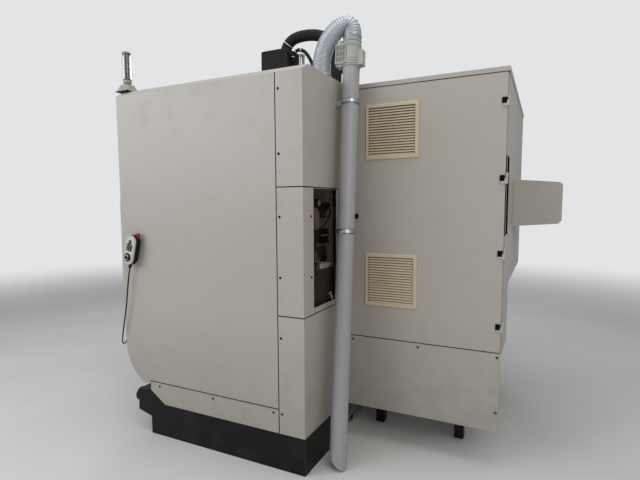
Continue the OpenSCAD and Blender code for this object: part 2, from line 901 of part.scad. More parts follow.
module control_housing() {
    color(light_grey) difference() {
        along_x(panel_x0, panel_x1) polygon([
            [front_y, panel_z0 + 40], [front_y, panel_z1], [front_y - panel_out + 22, panel_z1],
            [front_y - panel_out, panel_z1 - 30], [front_y - panel_out, panel_z0 + 210],
            [front_y - panel_out - 8, panel_z0 + 30], [front_y - panel_out + 10, panel_z0]
        ]);
        block([panel_x0 + 50, front_y - panel_out - 1, 1300],
            [panel_x0 + 370, front_y - panel_out + 6, 1560]);
        translate([panel_x1 - 60, front_y - panel_out - 12, 1120]) rotate([-90, 0, 0])
            cylinder(d = 24, h = 72);
        translate([panel_x1 - 60, front_y - panel_out - 1, 1340]) rotate([-90, 0, 0])
            cylinder(d = 12.16, h = 31);
    }
    // Gland of the pendant cable under the housing
    color(black) translate(gland) difference() {
        cylinder(d = 22, h = 34);
        translate([0, 0, -1]) cylinder(d = cable_d + 0.4, h = 15);
    }
    // Rows of flat keys
    color(black)
        for (i = [0 : 8], j = [0 : 2])
            block([panel_x0 + 55 + i * 36, front_y - panel_out - 3, 1250 - j * 32 - 24],
                  [panel_x0 + 83 + i * 36, front_y - panel_out + 3, 1250 - j * 32]);
}

module control_screen() {
    color("#20262c")
        block([panel_x0 + 50, front_y - panel_out, 1300], [panel_x0 + 370, front_y - panel_out + 6, 1560]);
}

module control_estop() {
    color("red") translate([panel_x1 - 60, front_y - panel_out, 1120]) rotate([90, 0, 0]) {
        translate([0, 0, 10]) cylinder(d1 = 38, d2 = 42, h = 8);
        translate([0, 0, 18]) cylinder(d1 = 42, d2 = 32, h = 8);
        translate([0, 0, -40]) cylinder(d = 23.4, h = 50);
    }
}

module feed_dial() {
    color(black) translate([panel_x1 - 60, front_y - panel_out, 1340]) rotate([90, 0, 0]) {
        translate([0, 0, 0.4]) cylinder(d = 46, h = 6);
        translate([0, 0, 6.4]) cylinder(d = 30, h = 16);
        translate([-2.5, 0, 20]) cube([5, 22, 4]);
        translate([0, 0, -28]) cylinder(d = 12, h = 29);
    }
}

// Signal lamp at the front corner of the roof: a folded foot, a collar, a core and a cap round
// which the clear tube stands
lamp_x = hw - 95;
lamp_y = front_y + 8;
lamp_r = 28;
lamp_foot_w = 108;
lamp_foot_h = 50;
lamp_seat = 84;
lamp_tube_h = 172;

module signal_base() {
    color(light_grey) translate([lamp_x, lamp_y, body_h]) {
        translate([-lamp_foot_w / 2, -lamp_foot_w / 2, 0]) cube([lamp_foot_w, lamp_foot_w, 4]);
        hull() {
            translate([0, 0, 3.5]) linear_extrude(1) square(lamp_foot_w - 8, center = true);
            translate([0, 0, lamp_foot_h - 1]) linear_extrude(1) square(2 * lamp_r + 4, center = true);
        }
        rotate_extrude() polygon([
            [0, lamp_foot_h - 5], [20, lamp_foot_h - 5], [20, lamp_foot_h + 6], [lamp_r - 3, lamp_foot_h + 10],
            [lamp_r, lamp_foot_h + 16], [lamp_r, lamp_seat - 6], [lamp_r - 2, lamp_seat], [12, lamp_seat],
            [12, lamp_seat + lamp_tube_h], [lamp_r + 1, lamp_seat + lamp_tube_h],
            [lamp_r + 1, lamp_seat + lamp_tube_h + 9], [lamp_r - 6, lamp_seat + lamp_tube_h + 15],
            [0, lamp_seat + lamp_tube_h + 15]
        ]);
    }
}

module signal_lens() {
    color("#e8eef0", 0.4) translate([lamp_x, lamp_y, body_h + lamp_seat + 0.2]) rotate_extrude() polygon([
        [lamp_r - 4, 0], [lamp_r, 0], [lamp_r, lamp_tube_h - 0.4], [lamp_r - 4, lamp_tube_h - 0.4]
    ]);
}

// Handwheel pendant hung on its hook
pend_y = front_y + 132;
pend_z = 1281;
rim_t = 12;
stop_x = 26;
stop_n = 24;
dial_at = [-2, -50];
pend_x = hw + 6;

module on_pendant() {
    translate([pend_x, pend_y, pend_z]) rotate([-pendant_lean, 0, 0]) rotate([90, 0, 90]) children();
}

module capsule(d, l) {
    hull()
        for (s = [-1, 1])
            translate([0, s * (l - d) / 2]) circle(d = d, $fn = 32);
}

// The shell narrows towards its back; the pale face plate stands round a sunk black key field
module pendant_body() {
    on_pendant() {
        color(black) difference() {
            hull() {
                linear_extrude(4) capsule(pendant_w - 22, pendant_h - 22);
                translate([0, 0, 16]) linear_extrude(pendant_t - rim_t - 16) capsule(pendant_w, pendant_h);
            }
            translate([stop_x, pendant_h / 2 - 34, stop_n]) rotate([-90, 0, 0]) cylinder(d = 16.6, h = 60);
        }
        color(light_grey) translate([0, 0, pendant_t - rim_t]) difference() {
            hull() {
                linear_extrude(rim_t - 3) capsule(pendant_w - 4, pendant_h - 4);
                linear_extrude(rim_t) capsule(pendant_w - 10, pendant_h - 10);
            }
            translate([0, 0, rim_t - 2]) linear_extrude(3) capsule(pendant_w - 34, pendant_h - 34);
            translate([dial_at[0], dial_at[1], 1]) cylinder(d = 12.16, h = rim_t);
        }
        color(black) {
            for (c = [[-12, 30], [12, 30], [-12, 6], [12, 6], [0, 58]])
                translate([c[0], c[1], pendant_t - 3]) cylinder(d = 19, h = 8, $fn = 24);
            // Magnet feet on the side panel
            for (s = [-1, 1])
                translate([0, s * 58, hw - pend_x]) cylinder(d = 34, h = pend_x - hw + 0.5);
            // Strain relief at the foot
            translate([0, -pendant_h / 2 - 26, relief_n]) rotate([-90, 0, 0]) difference() {
                cylinder(d1 = 16, d2 = 26, h = 34);
                translate([0, 0, -1]) cylinder(d = cable_d + 0.4, h = 16);
            }
        }
    }
}

relief_n = 26;

module pendant_dial() {
    color(steel) on_pendant() translate([dial_at[0], dial_at[1], pendant_t]) {
        translate([0, 0, 0.4]) cylinder(d = 56, h = 8);
        translate([0, 0, 8.4]) cylinder(d1 = 40, d2 = 36, h = 5);
        translate([14, 0, 8.4]) cylinder(d = 11, h = 14);
        translate([0, 0, -9]) cylinder(d = 12, h = 10);
    }
}

module pendant_estop() {
    color("red") on_pendant() translate([stop_x, pendant_h / 2 - 34, stop_n]) rotate([-90, 0, 0]) {
        translate([0, 0, 36]) cylinder(d1 = 28, d2 = 34, h = 8);
        translate([0, 0, 44]) cylinder(d1 = 34, d2 = 26, h = 7);
        translate([0, 0, 8]) cylinder(d = 16, h = 29);
    }
}

// Route of the pendant cable from inside its strain relief into the gland under the panel
cord_route = [
    [1152, -458.7, 1166], [1152, -469, 1128], [1151, -482, 1070], [1150, -496, 995], [1149, -510, 915],
    [1148, -528, 832], [1145, -552, 745], [1136, -578, 668], [1118, -604, 616], [1092, -622, 592],
    [1062, -630, 600], [1036, -628, 640], [1020, -620, 710], [1009, -609, 800], [1005, -602, 880],
    [1004, -600, 950], [1004, -600, 1022]
];
cord_steps = 4;

// A smooth curve through the points of a route, with n steps between two points
function smooth(route, n) = [
    for (i = [0 : len(route) - 2], k = [0 : n - 1])
        let (a = route[max(i - 1, 0)], b = route[i], c = route[i + 1], d = route[min(i + 2, len(route) - 1)],
             t = k / n)
        (2 * b + (c - a) * t + (2 * a - 5 * b + 4 * c - d) * t * t + (3 * b - a - 3 * c + d) * t * t * t) / 2,
    route[len(route) - 1]
];

function ring_dir(route, i) =
    let (a = route[max(i - 1, 0)], b = route[min(i + 1, len(route) - 1)]) (b - a) / norm(b - a);
function ring_side(d) = let (s = cross(d, [1, 0.2, 0])) s / norm(s);

// A round tube of n sides swept along a list of points
module swept_tube(route, d, n) {
    rings = [for (i = [0 : len(route) - 1])
        let (t = ring_dir(route, i), u = ring_side(t), v = cross(t, u))
        [for (k = [0 : n - 1]) route[i] + d / 2 * (cos(360 * k / n) * u + sin(360 * k / n) * v)]];
    pts = [for (r = rings, p = r) p];
    m = len(route);
    sides = [for (i = [0 : m - 2], k = [0 : n - 1])
        [i * n + k, (i + 1) * n + k, (i + 1) * n + (k + 1) % n, i * n + (k + 1) % n]];
    caps = [[for (k = [0 : n - 1]) k], [for (k = [n - 1 : -1 : 0]) (m - 1) * n + k]];
    polyhedron(pts, concat(caps, sides), convexity = 6);
}

module pendant_cord() {
    color(black) swept_tube(smooth(cord_route, cord_steps), cable_d, 8);
}

// Rear electrical cabinet
slot_x0 = door_x - 196;
slot_x1 = door_x - 52;
slot_z0 = 1393;
slot_z1 = 1850;

module cabinet_shell() {
    color(cream) {
        difference() {
            union() {
                block([cab_x0, cab_y0, cab_floor], [door_x - door_t - 1, cab_y1, cab_top - 4]);
                block([door_x - lower_depth, cab_y0, door_bottom - 14],
                    [door_x - door_t - 1, cab_y1, cab_floor]);
            }
            block([cab_x0 + 3, cab_y0 + 3, cab_floor + 3], [door_x - door_t - 0.5, cab_y1 - 3, cab_top - 7]);
            block([door_x - lower_depth + 3, cab_y0 + 3, door_bottom - 11],
                  [door_x - door_t - 0.5, cab_y1 - 3, cab_floor + 4]);
            block([slot_x0, cab_y1 - 4, slot_z0], [slot_x1, cab_y1 + 1, slot_z1]);
        }
        // Roof with its edge strip over the door
        block([cab_x0 - 4, cab_y0, cab_top - 4], [door_x, cab_y1 + 4, cab_top]);
        block([door_x - 3, cab_y0, cab_top - trim_h], [door_x, cab_y1 + 4, cab_top - 4]);
        block([cab_x0 - 4, cab_y1, cab_top - trim_h], [door_x - 3, cab_y1 + 4, cab_top - 4]);
        // Door stop frame
        difference() {
            block([door_x - door_t - 6, cab_y0 + 3, door_bottom - 11],
                [door_x - door_t - 1, cab_y1 - 3, cab_top - 7]);
            block([door_x - door_t - 7, cab_y0 + 30, door_bottom + 20],
                [door_x - door_t, cab_y1 - 30, cab_top - 40]);
        }
    }
    // Dark guard plate behind the rear slot
    color(black) block([slot_x0 - 12, cab_y1 - 12, slot_z0 - 12], [slot_x1 + 12, cab_y1 - 9, slot_z1 + 12]);
    color(cream)
        for (x = [slot_x0 - 12, slot_x1 + 6])
            block([x, cab_y1 - 9, slot_z0 - 12], [x + 6, cab_y1 - 3, slot_z1 + 12]);
}

stand_x = door_x - 330;
stand_far_x = cab_x0 + 200;
stand_y = [cab_y0 + 120, cab_y1 - 300];
leg_w = 60;

module cabinet_stand() {
    color(black) {
        for (y = stand_y) {
            block([stand_x, y, 0], [stand_x + leg_w, y + leg_w, door_bottom - 14]);
            block([stand_far_x, y, 0], [stand_far_x + leg_w, y + leg_w, cab_floor]);
            block([stand_far_x + leg_w, y, 90], [stand_x, y + leg_w, 150]);
            // Brackets that carry the lower cover
            for (z = [330, 640])
                block([stand_x + leg_w, y, z], [door_x - 3, y + 30, z + 30]);
        }
        for (x = [stand_x, stand_far_x])
            block([x, stand_y[0] + leg_w, 90], [x + leg_w, stand_y[1], 150]);
        // Blocks that bolt the cabinet to the column
        for (sx = [-1, 1])
            block([sx * 200 - 40, rear_reach - 12, 1150], [sx * 200 + 40, cab_y0, 1450]);
    }
}

cab_door_y0 = cab_y0 + 2;
cab_door_y1 = cab_y1 - 6;
hinge_axis = [door_x + 1, cab_y1 + 1];
hinge_top = door_top - 154;
hinge_low = door_bottom + 157;
hinge_zs = [for (i = [3 : -1 : 0]) hinge_low + (hinge_top - hinge_low) * i / 3];
lock_y = cab_y0 + 68;
lock_z = 1500;
grille_y = cab_y0 + grille_inset + grille_w / 2;

module cabinet_door() {
    color(cream) difference() {
        union() {
            difference() {
                block([door_x - door_t, cab_door_y0, door_bottom + seam], [door_x, cab_door_y1, door_top]);
                block([door_x - door_t - 1, cab_door_y0 + 3, door_bottom + seam + 3],
                      [door_x - 3, cab_door_y1 - 3, door_top - 3]);
            }
            // Stiffening ribs inside the door
            for (y = [cab_door_y0 + 90, cab_door_y1 - 110])
                block([door_x - 20, y, door_bottom + 60], [door_x - 3, y + 20, door_top - 60]);
            // Lock boss
            translate([door_x - 24, lock_y, lock_z]) rotate([0, 90, 0]) cylinder(d = 44, h = 22);
        }
        for (z = [grille_high_z, grille_low_z])
            block([door_x - 30, grille_y - grille_w / 2 + 14, z - grille_w / 2 + 14],
                  [door_x + 1, grille_y + grille_w / 2 - 14, z + grille_w / 2 - 14]);
        translate([door_x - 30, lock_y, lock_z]) rotate([0, 90, 0]) cylinder(r = 12.08, h = 40);
    }
    // Hinge leaves on the door
    color(black)
        for (z = hinge_zs)
            difference() {
                union() {
                    translate([door_x, cab_door_y1 - 26, z - hinge_l / 2]) cube([8, 26, hinge_l / 2 - 0.3]);
                    translate([hinge_axis[0], hinge_axis[1], z - hinge_l / 2])
                        cylinder(d = hinge_pin_d + 8, h = hinge_l / 2 - 0.3);
                    translate([door_x + 2, cab_door_y1 - 2, z - hinge_l / 2]) cube([6, 6, hinge_l / 2 - 0.3]);
                }
                translate([hinge_axis[0], hinge_axis[1], z - hinge_l / 2 - 1])
                    cylinder(d = hinge_pin_d + 0.16, h = hinge_l);
                block([door_x - 20, cab_door_y1 - 30, z - hinge_l], [door_x, cab_door_y1 + 10, z + hinge_l]);
            }
}

module door_hinges() {
    color(black)
        for (z = hinge_zs) {
            translate([hinge_axis[0], hinge_axis[1], z - hinge_l / 2]) cylinder(d = hinge_pin_d, h = hinge_l);
            difference() {
                union() {
                    translate([hinge_axis[0], hinge_axis[1], z + 0.3])
                        cylinder(d = hinge_pin_d + 8, h = hinge_l / 2 - 0.3);
                    translate([door_x - 44, cab_y1, z + 0.3]) cube([44, 6, hinge_l / 2 - 0.3]);
                }
                block([door_x - 60, cab_y1 - 20, z - 1], [door_x + 20, cab_y1, z + hinge_l]);
            }
        }
}

// A slatted vent grille: a bevelled frame with slats that slope outwards
module vent_grille() {
    inner = grille_w - 46;
    difference() {
        hull() {
            translate([0, -grille_w / 2, -grille_w / 2]) cube([2, grille_w, grille_w]);
            translate([0, -grille_w / 2 + 5, -grille_w / 2 + 5])
                cube([grille_t, grille_w - 10, grille_w - 10]);
        }
        translate([-1, -inner / 2, -inner / 2]) cube([grille_t + 2, inner, inner]);
    }
    pitch = inner / slat_count;
    for (i = [0 : slat_count - 1])
        translate([0, inner / 2, -inner / 2 + (i + 0.5) * pitch]) rotate([90, 0, 0]) linear_extrude(inner)
            polygon([[0.5, pitch * 0.42], [grille_t - 1, -pitch * 0.3], [grille_t - 1, -pitch * 0.46],
                     [grille_t - 3, -pitch * 0.46], [0.5, pitch * 0.2]]);
}

module vent_grilles() {
    color(beige)
        for (z = [grille_high_z, grille_low_z])
            translate([door_x, grille_y, z]) vent_grille();
}

module lock_ring() {
    color(black) translate([door_x, lock_y, lock_z]) rotate([0, 90, 0]) {
        translate([0, 0, 0.3]) difference() {
            cylinder(d = 34, h = 7);
            translate([0, 0, 3]) cylinder(d = 24, h = 6);
        }
        translate([-9, -2, 3]) cube([18, 4, 4]);
        translate([0, 0, -36]) cylinder(r = 12, h = 37);
        translate([-8, -34, -40]) cube([16, 42, 5]);
    }
}

module cabinet_lower_cover() {
    color(cream) difference() {
        block([door_x - door_t, cab_door_y0, lower_bottom], [door_x, cab_door_y1, door_bottom]);
        block([door_x - door_t - 1, cab_door_y0 + 3, lower_bottom + 3],
            [door_x - 3, cab_door_y1 - 3, door_bottom - 3]);
    }
    color(black)
        for (y = [cab_door_y0 + 45, (cab_door_y0 + cab_door_y1) / 2, cab_door_y1 - 14])
            screw_head_x(y, door_bottom - 26, door_x);
    color(black) screw_head_x(cab_door_y1 - 14, lower_bottom + 118, door_x);
}

rack_x = door_x - 520;

module drive_rack() {
    color(steel) {
        block([rack_x, cab_y0 + 60, cab_floor + 60], [rack_x + 4, cab_y1 - 60, cab_top - 90]);
        for (y = [cab_y0 + 80, cab_y1 - 120])
            block([rack_x - 20, y, cab_floor + 3], [rack_x, y + 40, cab_top - 90]);
    }
    color("#4a4d50")
        for (i = [0 : 5])
            block([rack_x + 4, cab_y0 + 120 + i * 118, 1640], [rack_x + 204, cab_y0 + 214 + i * 118, 2020]);
    color(light_grey)
        for (i = [0 : 7], z = [1220, 1420])
            block([rack_x + 4, cab_y0 + 120 + i * 88, z], [rack_x + 74, cab_y0 + 190 + i * 88, z + 90]);
}

cooler_x1 = door_x - 600;
cooler_w = 520;
cooler_out = 300;

module rear_cooler() {
    // A box that narrows slightly towards its outer face
    color(cream) difference() {
        hull() {
            block([cooler_x1 - cooler_w, cab_y1 + fit_gap, 1423], [cooler_x1, cab_y1 + 8, 1739]);
            block([cooler_x1 - cooler_w + 12, cab_y1 + cooler_out - 30, 1442],
                [cooler_x1 - 12, cab_y1 + cooler_out - 20, 1716]);
            block([cooler_x1 - cooler_w + 24, cab_y1 + cooler_out - 2, 1462],
                [cooler_x1 - 24, cab_y1 + cooler_out, 1700]);
        }
        for (i = [0 : 9])
            block([cooler_x1 - cooler_w + 70, cab_y1 + cooler_out - 6, 1484 + i * 20],
                  [cooler_x1 - 70, cab_y1 + cooler_out + 1, 1494 + i * 20]);
    }
}

// Compressed air unit seen through the service opening
unit_y = rear_reach - 190;

module air_unit() {
    color("#8a7f74") block([open_x0 - 40, unit_y - 4, open_z0 - 30], [hw - fold, unit_y, seam_high + 60]);
    color(steel) {
        // Regulator body, bowl and knob
        translate([open_x1 - 105, unit_y + 46, 1500]) {
            translate([-30, -46, -35]) cube([60, 76, 70]);
            translate([0, 0, 35]) cylinder(d = 44, h = 46);
            translate([0, 0, -105]) cylinder(d = 46, h = 70);
        }
        // Filter beside it
        translate([open_x1 - 175, unit_y + 46, 1500]) {
            translate([-30, -46, -35]) cube([60, 76, 70]);
            translate([0, 0, -115]) cylinder(d = 50, h = 80);
        }
        translate([open_x1 - 145, unit_y + 46, 1500]) rotate([0, 90, 0]) cylinder(d = 24, h = 12);
        // Pressure gauge
        translate([open_x1 - 105, unit_y + 76, 1500]) rotate([-90, 0, 0]) {
            cylinder(d = 12, h = 12);
            translate([0, 0, 12]) cylinder(d = 50, h = 26);
        }
    }
    color(black) {
        // Row of valves
        for (i = [0 : 3])
            translate([open_x1 - 210 + i * 36, unit_y, 1285]) cube([30, 70, 110]);
        block([open_x1 - 215, unit_y, 1262], [open_x1 - 60, unit_y + 80, 1285]);
    }
}

lube_top = open_z0 + 204;

module lube_tank() {
    color("#55504a") {
        difference() {
            block([open_x0 - 30, unit_y + 6, open_z0 - 20], [open_x1 - 40, rear_reach - 30, lube_top]);
            block([open_x0 - 26, unit_y + 10, open_z0 - 16], [open_x1 - 44, rear_reach - 34, lube_top - 5]);
        }
        translate([open_x0 + 50, unit_y + 80, lube_top]) cylinder(d = 50, h = 18);
        translate([open_x0 + 150, unit_y + 50, lube_top]) cylinder(d = 60, h = 78);
    }
    color(cream) block([open_x0 - 40, unit_y, open_z0 - 26],
        [open_x1 - fit_gap, rear_reach - sheet, open_z0 - 20]);
}

// The leaning extraction pipe with the fan on its head
pipe_top = [hw - 470, rear_reach + 92, body_h + 62];
pipe_foot = [hw - 165, rear_reach + 132, 0];
pipe_mitre = 37;
pipe_vec = pipe_top - pipe_foot;
pipe_len = norm(pipe_vec);
pipe_tilt = acos(pipe_vec[2] / pipe_len);
pipe_turn = atan2(pipe_vec[1], pipe_vec[0]);

// Place children with +Z along the pipe, l above the foot
module on_pipe(l) {
    translate(pipe_foot) rotate([0, 0, pipe_turn]) rotate([0, pipe_tilt, 0]) translate([0, 0, l]) children();
}

module extraction_pipe() {
    color(pvc) difference() {
        on_pipe(0) difference() {
            translate([0, 0, -60]) cylinder(d = pipe_d, h = pipe_len + 60);
            translate([0, 0, -61]) cylinder(d = pipe_d - 2 * pipe_wall, h = pipe_len + 80);
        }
        // Mitre cut at the floor: its rear edge stands on it
        translate(pipe_foot + [0, pipe_d / 2, 0.3]) rotate([-pipe_mitre, 0, 0])
            translate([-pipe_d, -3 * pipe_d, -2 * pipe_d]) cube([2 * pipe_d, 4 * pipe_d, 2 * pipe_d]);
    }
}

// Height of each clamp and the place of its foot on the covers
clamps = [[body_h - 151, hw - 460], [seam_high - 263, hw - 475]];

module pipe_clamps() {
    color(steel)
        for (c = clamps)
            pipe_clamp(c[0], c[1]);
}

// A pipe ring with one ear, on an arm that stands on the cover
module pipe_clamp(z, foot_x) {
    part = z / pipe_top[2];
    c = pipe_foot + pipe_vec * part;
    arm_y = c[1] - pipe_d / 2 - 1.6;
    on_pipe(pipe_len * part) difference() {
        cylinder(d = pipe_d + 8, h = 22, center = true);
        cylinder(d = pipe_d + 0.6, h = 24, center = true);
    }
    translate([c[0] + pipe_d / 2 + 13, c[1], c[2]]) cube([22, 14, 20], center = true);
    block([foot_x - 14, arm_y - 8, z - 10], [c[0] + 12, arm_y, z + 10]);
    block([foot_x - 14, rear_reach, z - 14], [foot_x + 14, arm_y - 4, z + 14]);
}

fan_h = 166;

module fan_housing() {
    color("#9a9a90") on_pipe(pipe_len + 0.3) {
        difference() {
            union() {
                cylinder(d = fan_d, h = fan_h);
                translate([0, 0, 30]) cylinder(d = fan_d + 6, h = 6);
                translate([0, 0, 130]) cylinder(d = fan_d + 6, h = 6);
                translate([0, 0, fan_h]) cylinder(d = collar_d, h = 34);
                rotate([0, 0, 90 - pipe_turn]) fan_boxes();
            }
            translate([0, 0, -1]) cylinder(d = fan_d - 12, h = fan_h - 9);
            translate([0, 0, -1]) cylinder(d = collar_d - 8, h = fan_h + 60);
        }
        // Motor hub held by three struts
        translate([0, 0, 96]) cylinder(d = 46, h = 44);
        for (a = [0, 120, 240]) rotate([0, 0, a]) translate([20, -2, 100]) cube([fan_d / 2 - 22, 4, 36]);
    }
}

box_out = 44;

module fan_boxes() {
    // Terminal box towards the front, with its chamfered lid
    rotate([0, 0, 180]) translate([fan_d / 2 - 12, -44, 0]) hull() {
        translate([0, 0, 20]) cube([box_out - 14, 88, fan_h - 50]);
        translate([0, 8, 8]) cube([box_out, 72, fan_h - 30]);
        cube([box_out - 26, 88, fan_h - 12]);
    }
    // Lug at the back
    translate([fan_d / 2 - 10, -26, 4]) cube([34, 52, 92]);
    // Latch tab on the head of the terminal box
    rotate([0, 0, 180]) translate([fan_d / 2 - 6, -16, fan_h - 16]) cube([30, 32, 22]);
}

module fan_impeller() {
    color(black) on_pipe(pipe_len + 0.3) {
        difference() {
            cylinder(d = 40, h = 95.6);
            translate([0, 0, -1]) cylinder(d = 30, h = 80);
        }
        for (i = [0 : 8]) rotate([0, 0, i * 40])
            translate([18, 0, 50]) rotate([35, 0, 0]) translate([0, -1.5, -20]) cube([25, 3, 44]);
    }
}

// The flexible duct: up off the roof spigot, over and down onto the fan collar
pipe_dir = pipe_vec / pipe_len;
duct_start = [duct_x, duct_y, body_h + fit_gap];
duct_end = pipe_foot + pipe_dir * (pipe_len + fan_h + 14);
duct_seat = 30;
seat_rings = 5;
bend_rings = 66;
duct_rise = 240;
duct_drop = 150;

function duct_bend(t) =
    let (a = duct_start + [0, 0, duct_seat], d = duct_end + pipe_dir * duct_seat,
         b = a + [0, -34, duct_rise], c = d + pipe_dir * duct_drop, s = 1 - t)
    a * s * s * s + b * 3 * s * s * t + c * 3 * s * t * t + d * t * t * t;

duct_path = concat(
    [for (i = [0 : seat_rings - 1]) duct_start + [0, 0, duct_seat * i / seat_rings]],
    [for (i = [0 : bend_rings]) duct_bend(i / bend_rings)],
    [for (i = [1 : seat_rings]) duct_end + pipe_dir * duct_seat * (1 - i / seat_rings)]
);

// A ribbed tube with a bore: its outer radius swings between two values along the path
module ribbed_tube(path, bore, rib, n) {
    m = len(path);
    function ring(i, r) =
        let (t = ring_dir(path, i), u = ring_side(t), v = cross(t, u))
        [for (k = [0 : n - 1]) path[i] + r * (cos(360 * k / n) * u + sin(360 * k / n) * v)];
    flat = cos(180 / n);
    outer = [for (i = [0 : m - 1], p = ring(i, bore / 2 / flat + 2 + (i % 2) * rib)) p];
    inner = [for (i = [0 : m - 1], p = ring(i, bore / 2 / flat)) p];
    function skin(base, flip) = [for (i = [0 : m - 2], k = [0 : n - 1])
        let (q = [base + i * n + k, base + i * n + (k + 1) % n,
                  base + (i + 1) * n + (k + 1) % n, base + (i + 1) * n + k])
        flip ? [q[3], q[2], q[1], q[0]] : q];
    ends = [for (k = [0 : n - 1]) each [
        [(k + 1) % n, m * n + (k + 1) % n, m * n + k, k],
        [(m - 1) * n + k, (2 * m - 1) * n + k, (2 * m - 1) * n + (k + 1) % n, (m - 1) * n + (k + 1) % n]]];
    polyhedron(concat(outer, inner), concat(skin(0, true), skin(m * n, false), ends), convexity = 8);
}

module flexible_duct() {
    color("#c9ccd0")
        ribbed_tube(duct_path, duct_bore, duct_rib, 20);
}

// Conduit and thin hose from the motor cover over to the roof
conduit_d = 87;
hose_d = 30;
hose_x = 62;
hose_z0 = motor_cover_top - 73;
conduit_end_y = 560;

// A route from the head over to the roof: depth, and height as a share of the rise from roof to head
function route_to_roof(x, low, high, shares) = [for (q = shares) [x, q[0], low + (high - low) * q[1] / 100]];

conduit_route = route_to_roof(0, body_h + fit_gap, motor_cover_top + 12 + fit_gap, [
    [117, 100], [117, 102], [122, 105.5], [133, 109], [154, 113.5], [190, 118], [240, 120], [300, 120],
        [360, 119],
    [415, 116], [464, 110.5], [504, 103], [534, 93], [552, 82], [560, 70], [561, 57.5], [560, 42.5],
    [560, 27.5], [560, 12.5], [560, 0]
]);
hose_route = route_to_roof(hose_x, body_h + fit_gap, hose_z0 + fit_gap, [
    [214, 100], [214, 103], [222, 109], [241, 113], [266, 114.5], [292, 113], [316, 109.5], [338, 103.5],
    [358, 96], [377, 87], [394, 77], [409, 65], [422, 52], [433, 38], [441, 23.5], [446, 11], [446, 0]
]);

module cable_conduit() {
    color(black) swept_tube(conduit_route, conduit_d, 12);
}

module coolant_hose() {
    color(black) swept_tube(hose_route, hose_d, 10);
}

bed_casting();
column();
anchor_pads();
base_tank();
side_panel_right();
side_panel_left();
lower_side_cover();
corner_cover_upper();
corner_cover_middle();
corner_cover_lower();
rear_cover_left();
roof_panel();
front_frame();
work_guard();
y_screw();
z_screw();
z_motor();
saddle();
x_screw();
table();
headstock();
spindle();
spindle_motor();
motor_cover();
balance_cylinder();
magazine_bracket();
magazine_drum();
change_arm();
door_left();
door_right();
window_left();
window_right();
control_housing();
control_screen();
control_estop();
feed_dial();
signal_base();
signal_lens();
pendant_body();
pendant_dial();
pendant_estop();
pendant_cord();
cabinet_shell();
cabinet_stand();
cabinet_door();
vent_grilles();
cabinet_lower_cover();
door_hinges();
lock_ring();
drive_rack();
rear_cooler();
air_unit();
lube_tank();
extraction_pipe();
pipe_clamps();
fan_housing();
fan_impeller();
flexible_duct();
cable_conduit();
coolant_hose();
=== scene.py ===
import math

import bpy
import numpy as np
from mathutils import Matrix, Vector


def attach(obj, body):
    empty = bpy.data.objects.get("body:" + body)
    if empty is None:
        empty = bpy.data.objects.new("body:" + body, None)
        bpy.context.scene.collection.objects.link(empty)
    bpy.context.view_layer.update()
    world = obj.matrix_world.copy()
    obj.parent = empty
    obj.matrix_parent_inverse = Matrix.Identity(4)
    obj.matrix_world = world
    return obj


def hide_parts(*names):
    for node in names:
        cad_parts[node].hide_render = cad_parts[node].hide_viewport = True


bl_info = {
    "name": "Vertical machining centre",
    "version": (1, 0, 0),
    "blender": (4, 5, 0),
    "location": "View3D > Sidebar > Machining",
    "description": "Dresses the packed machining centre: ducts, cables, fasteners, controls and finishes",
    "category": "Object",
}

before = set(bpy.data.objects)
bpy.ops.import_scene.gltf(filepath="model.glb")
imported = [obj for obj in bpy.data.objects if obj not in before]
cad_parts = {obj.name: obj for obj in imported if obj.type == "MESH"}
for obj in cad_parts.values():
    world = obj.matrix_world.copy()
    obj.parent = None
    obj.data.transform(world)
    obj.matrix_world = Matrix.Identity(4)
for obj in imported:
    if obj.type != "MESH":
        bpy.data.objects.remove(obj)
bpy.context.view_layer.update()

# Places that the source of the solids also states, in metres, and routes of its tubes in millimetres
SIDE_X = 1.12
REAR_Y = 0.86
ROOF_Z = 2.35
DOOR_X = 0.548
PIPE_FOOT = np.array([0.955, 0.992, 0.0])
PIPE_TOP = np.array([0.650, 0.952, 2.412])
PIPE_LENGTH = float(np.linalg.norm(PIPE_TOP - PIPE_FOOT))
PIPE_DIR = (PIPE_TOP - PIPE_FOOT) / PIPE_LENGTH
PENDANT = np.array([1.126, -0.428, 1.281])
PENDANT_RIGHT = np.array([0.0, math.cos(math.radians(15)), -math.sin(math.radians(15))])
PENDANT_UP = np.array([0.0, math.sin(math.radians(15)), math.cos(math.radians(15))])
LAMP = np.array([1.025, -0.552, 2.35])
DUCT_START = np.array([0.700, 0.777, 2.3503])
CONDUIT_ROUTE = [
    (0, 117, 2818.3), (0, 117, 2828), (0, 122, 2844), (0, 133, 2861), (0, 154, 2882), (0, 190, 2902),
    (0, 240, 2912), (0, 300, 2913), (0, 360, 2907), (0, 415, 2893), (0, 464, 2868), (0, 504, 2832),
    (0, 534, 2786), (0, 552, 2734), (0, 560, 2680), (0, 561, 2620), (0, 560, 2550), (0, 560, 2480),
    (0, 560, 2410), (0, 560, 2350.3),
]
HOSE_ROUTE = [
    (62, 214, 2733.3), (62, 214, 2745), (62, 222, 2766), (62, 241, 2783), (62, 266, 2789), (62, 292, 2784),
    (62, 316, 2770), (62, 338, 2747), (62, 358, 2718), (62, 377, 2684), (62, 394, 2645), (62, 409, 2600),
    (62, 422, 2550), (62, 433, 2495), (62, 441, 2440), (62, 446, 2392), (62, 446, 2350.3),
]
CABLE_ROUTE = [
    (1152, -458.7, 1166), (1152, -469, 1128), (1151, -482, 1070), (1150, -496, 995), (1149, -510, 915),
    (1148, -528, 832), (1145, -552, 745), (1136, -578, 668), (1118, -604, 616), (1092, -622, 592),
    (1062, -630, 600), (1036, -628, 640), (1020, -620, 710), (1009, -609, 800), (1005, -602, 880),
    (1004, -600, 950), (1004, -600, 1022),
]

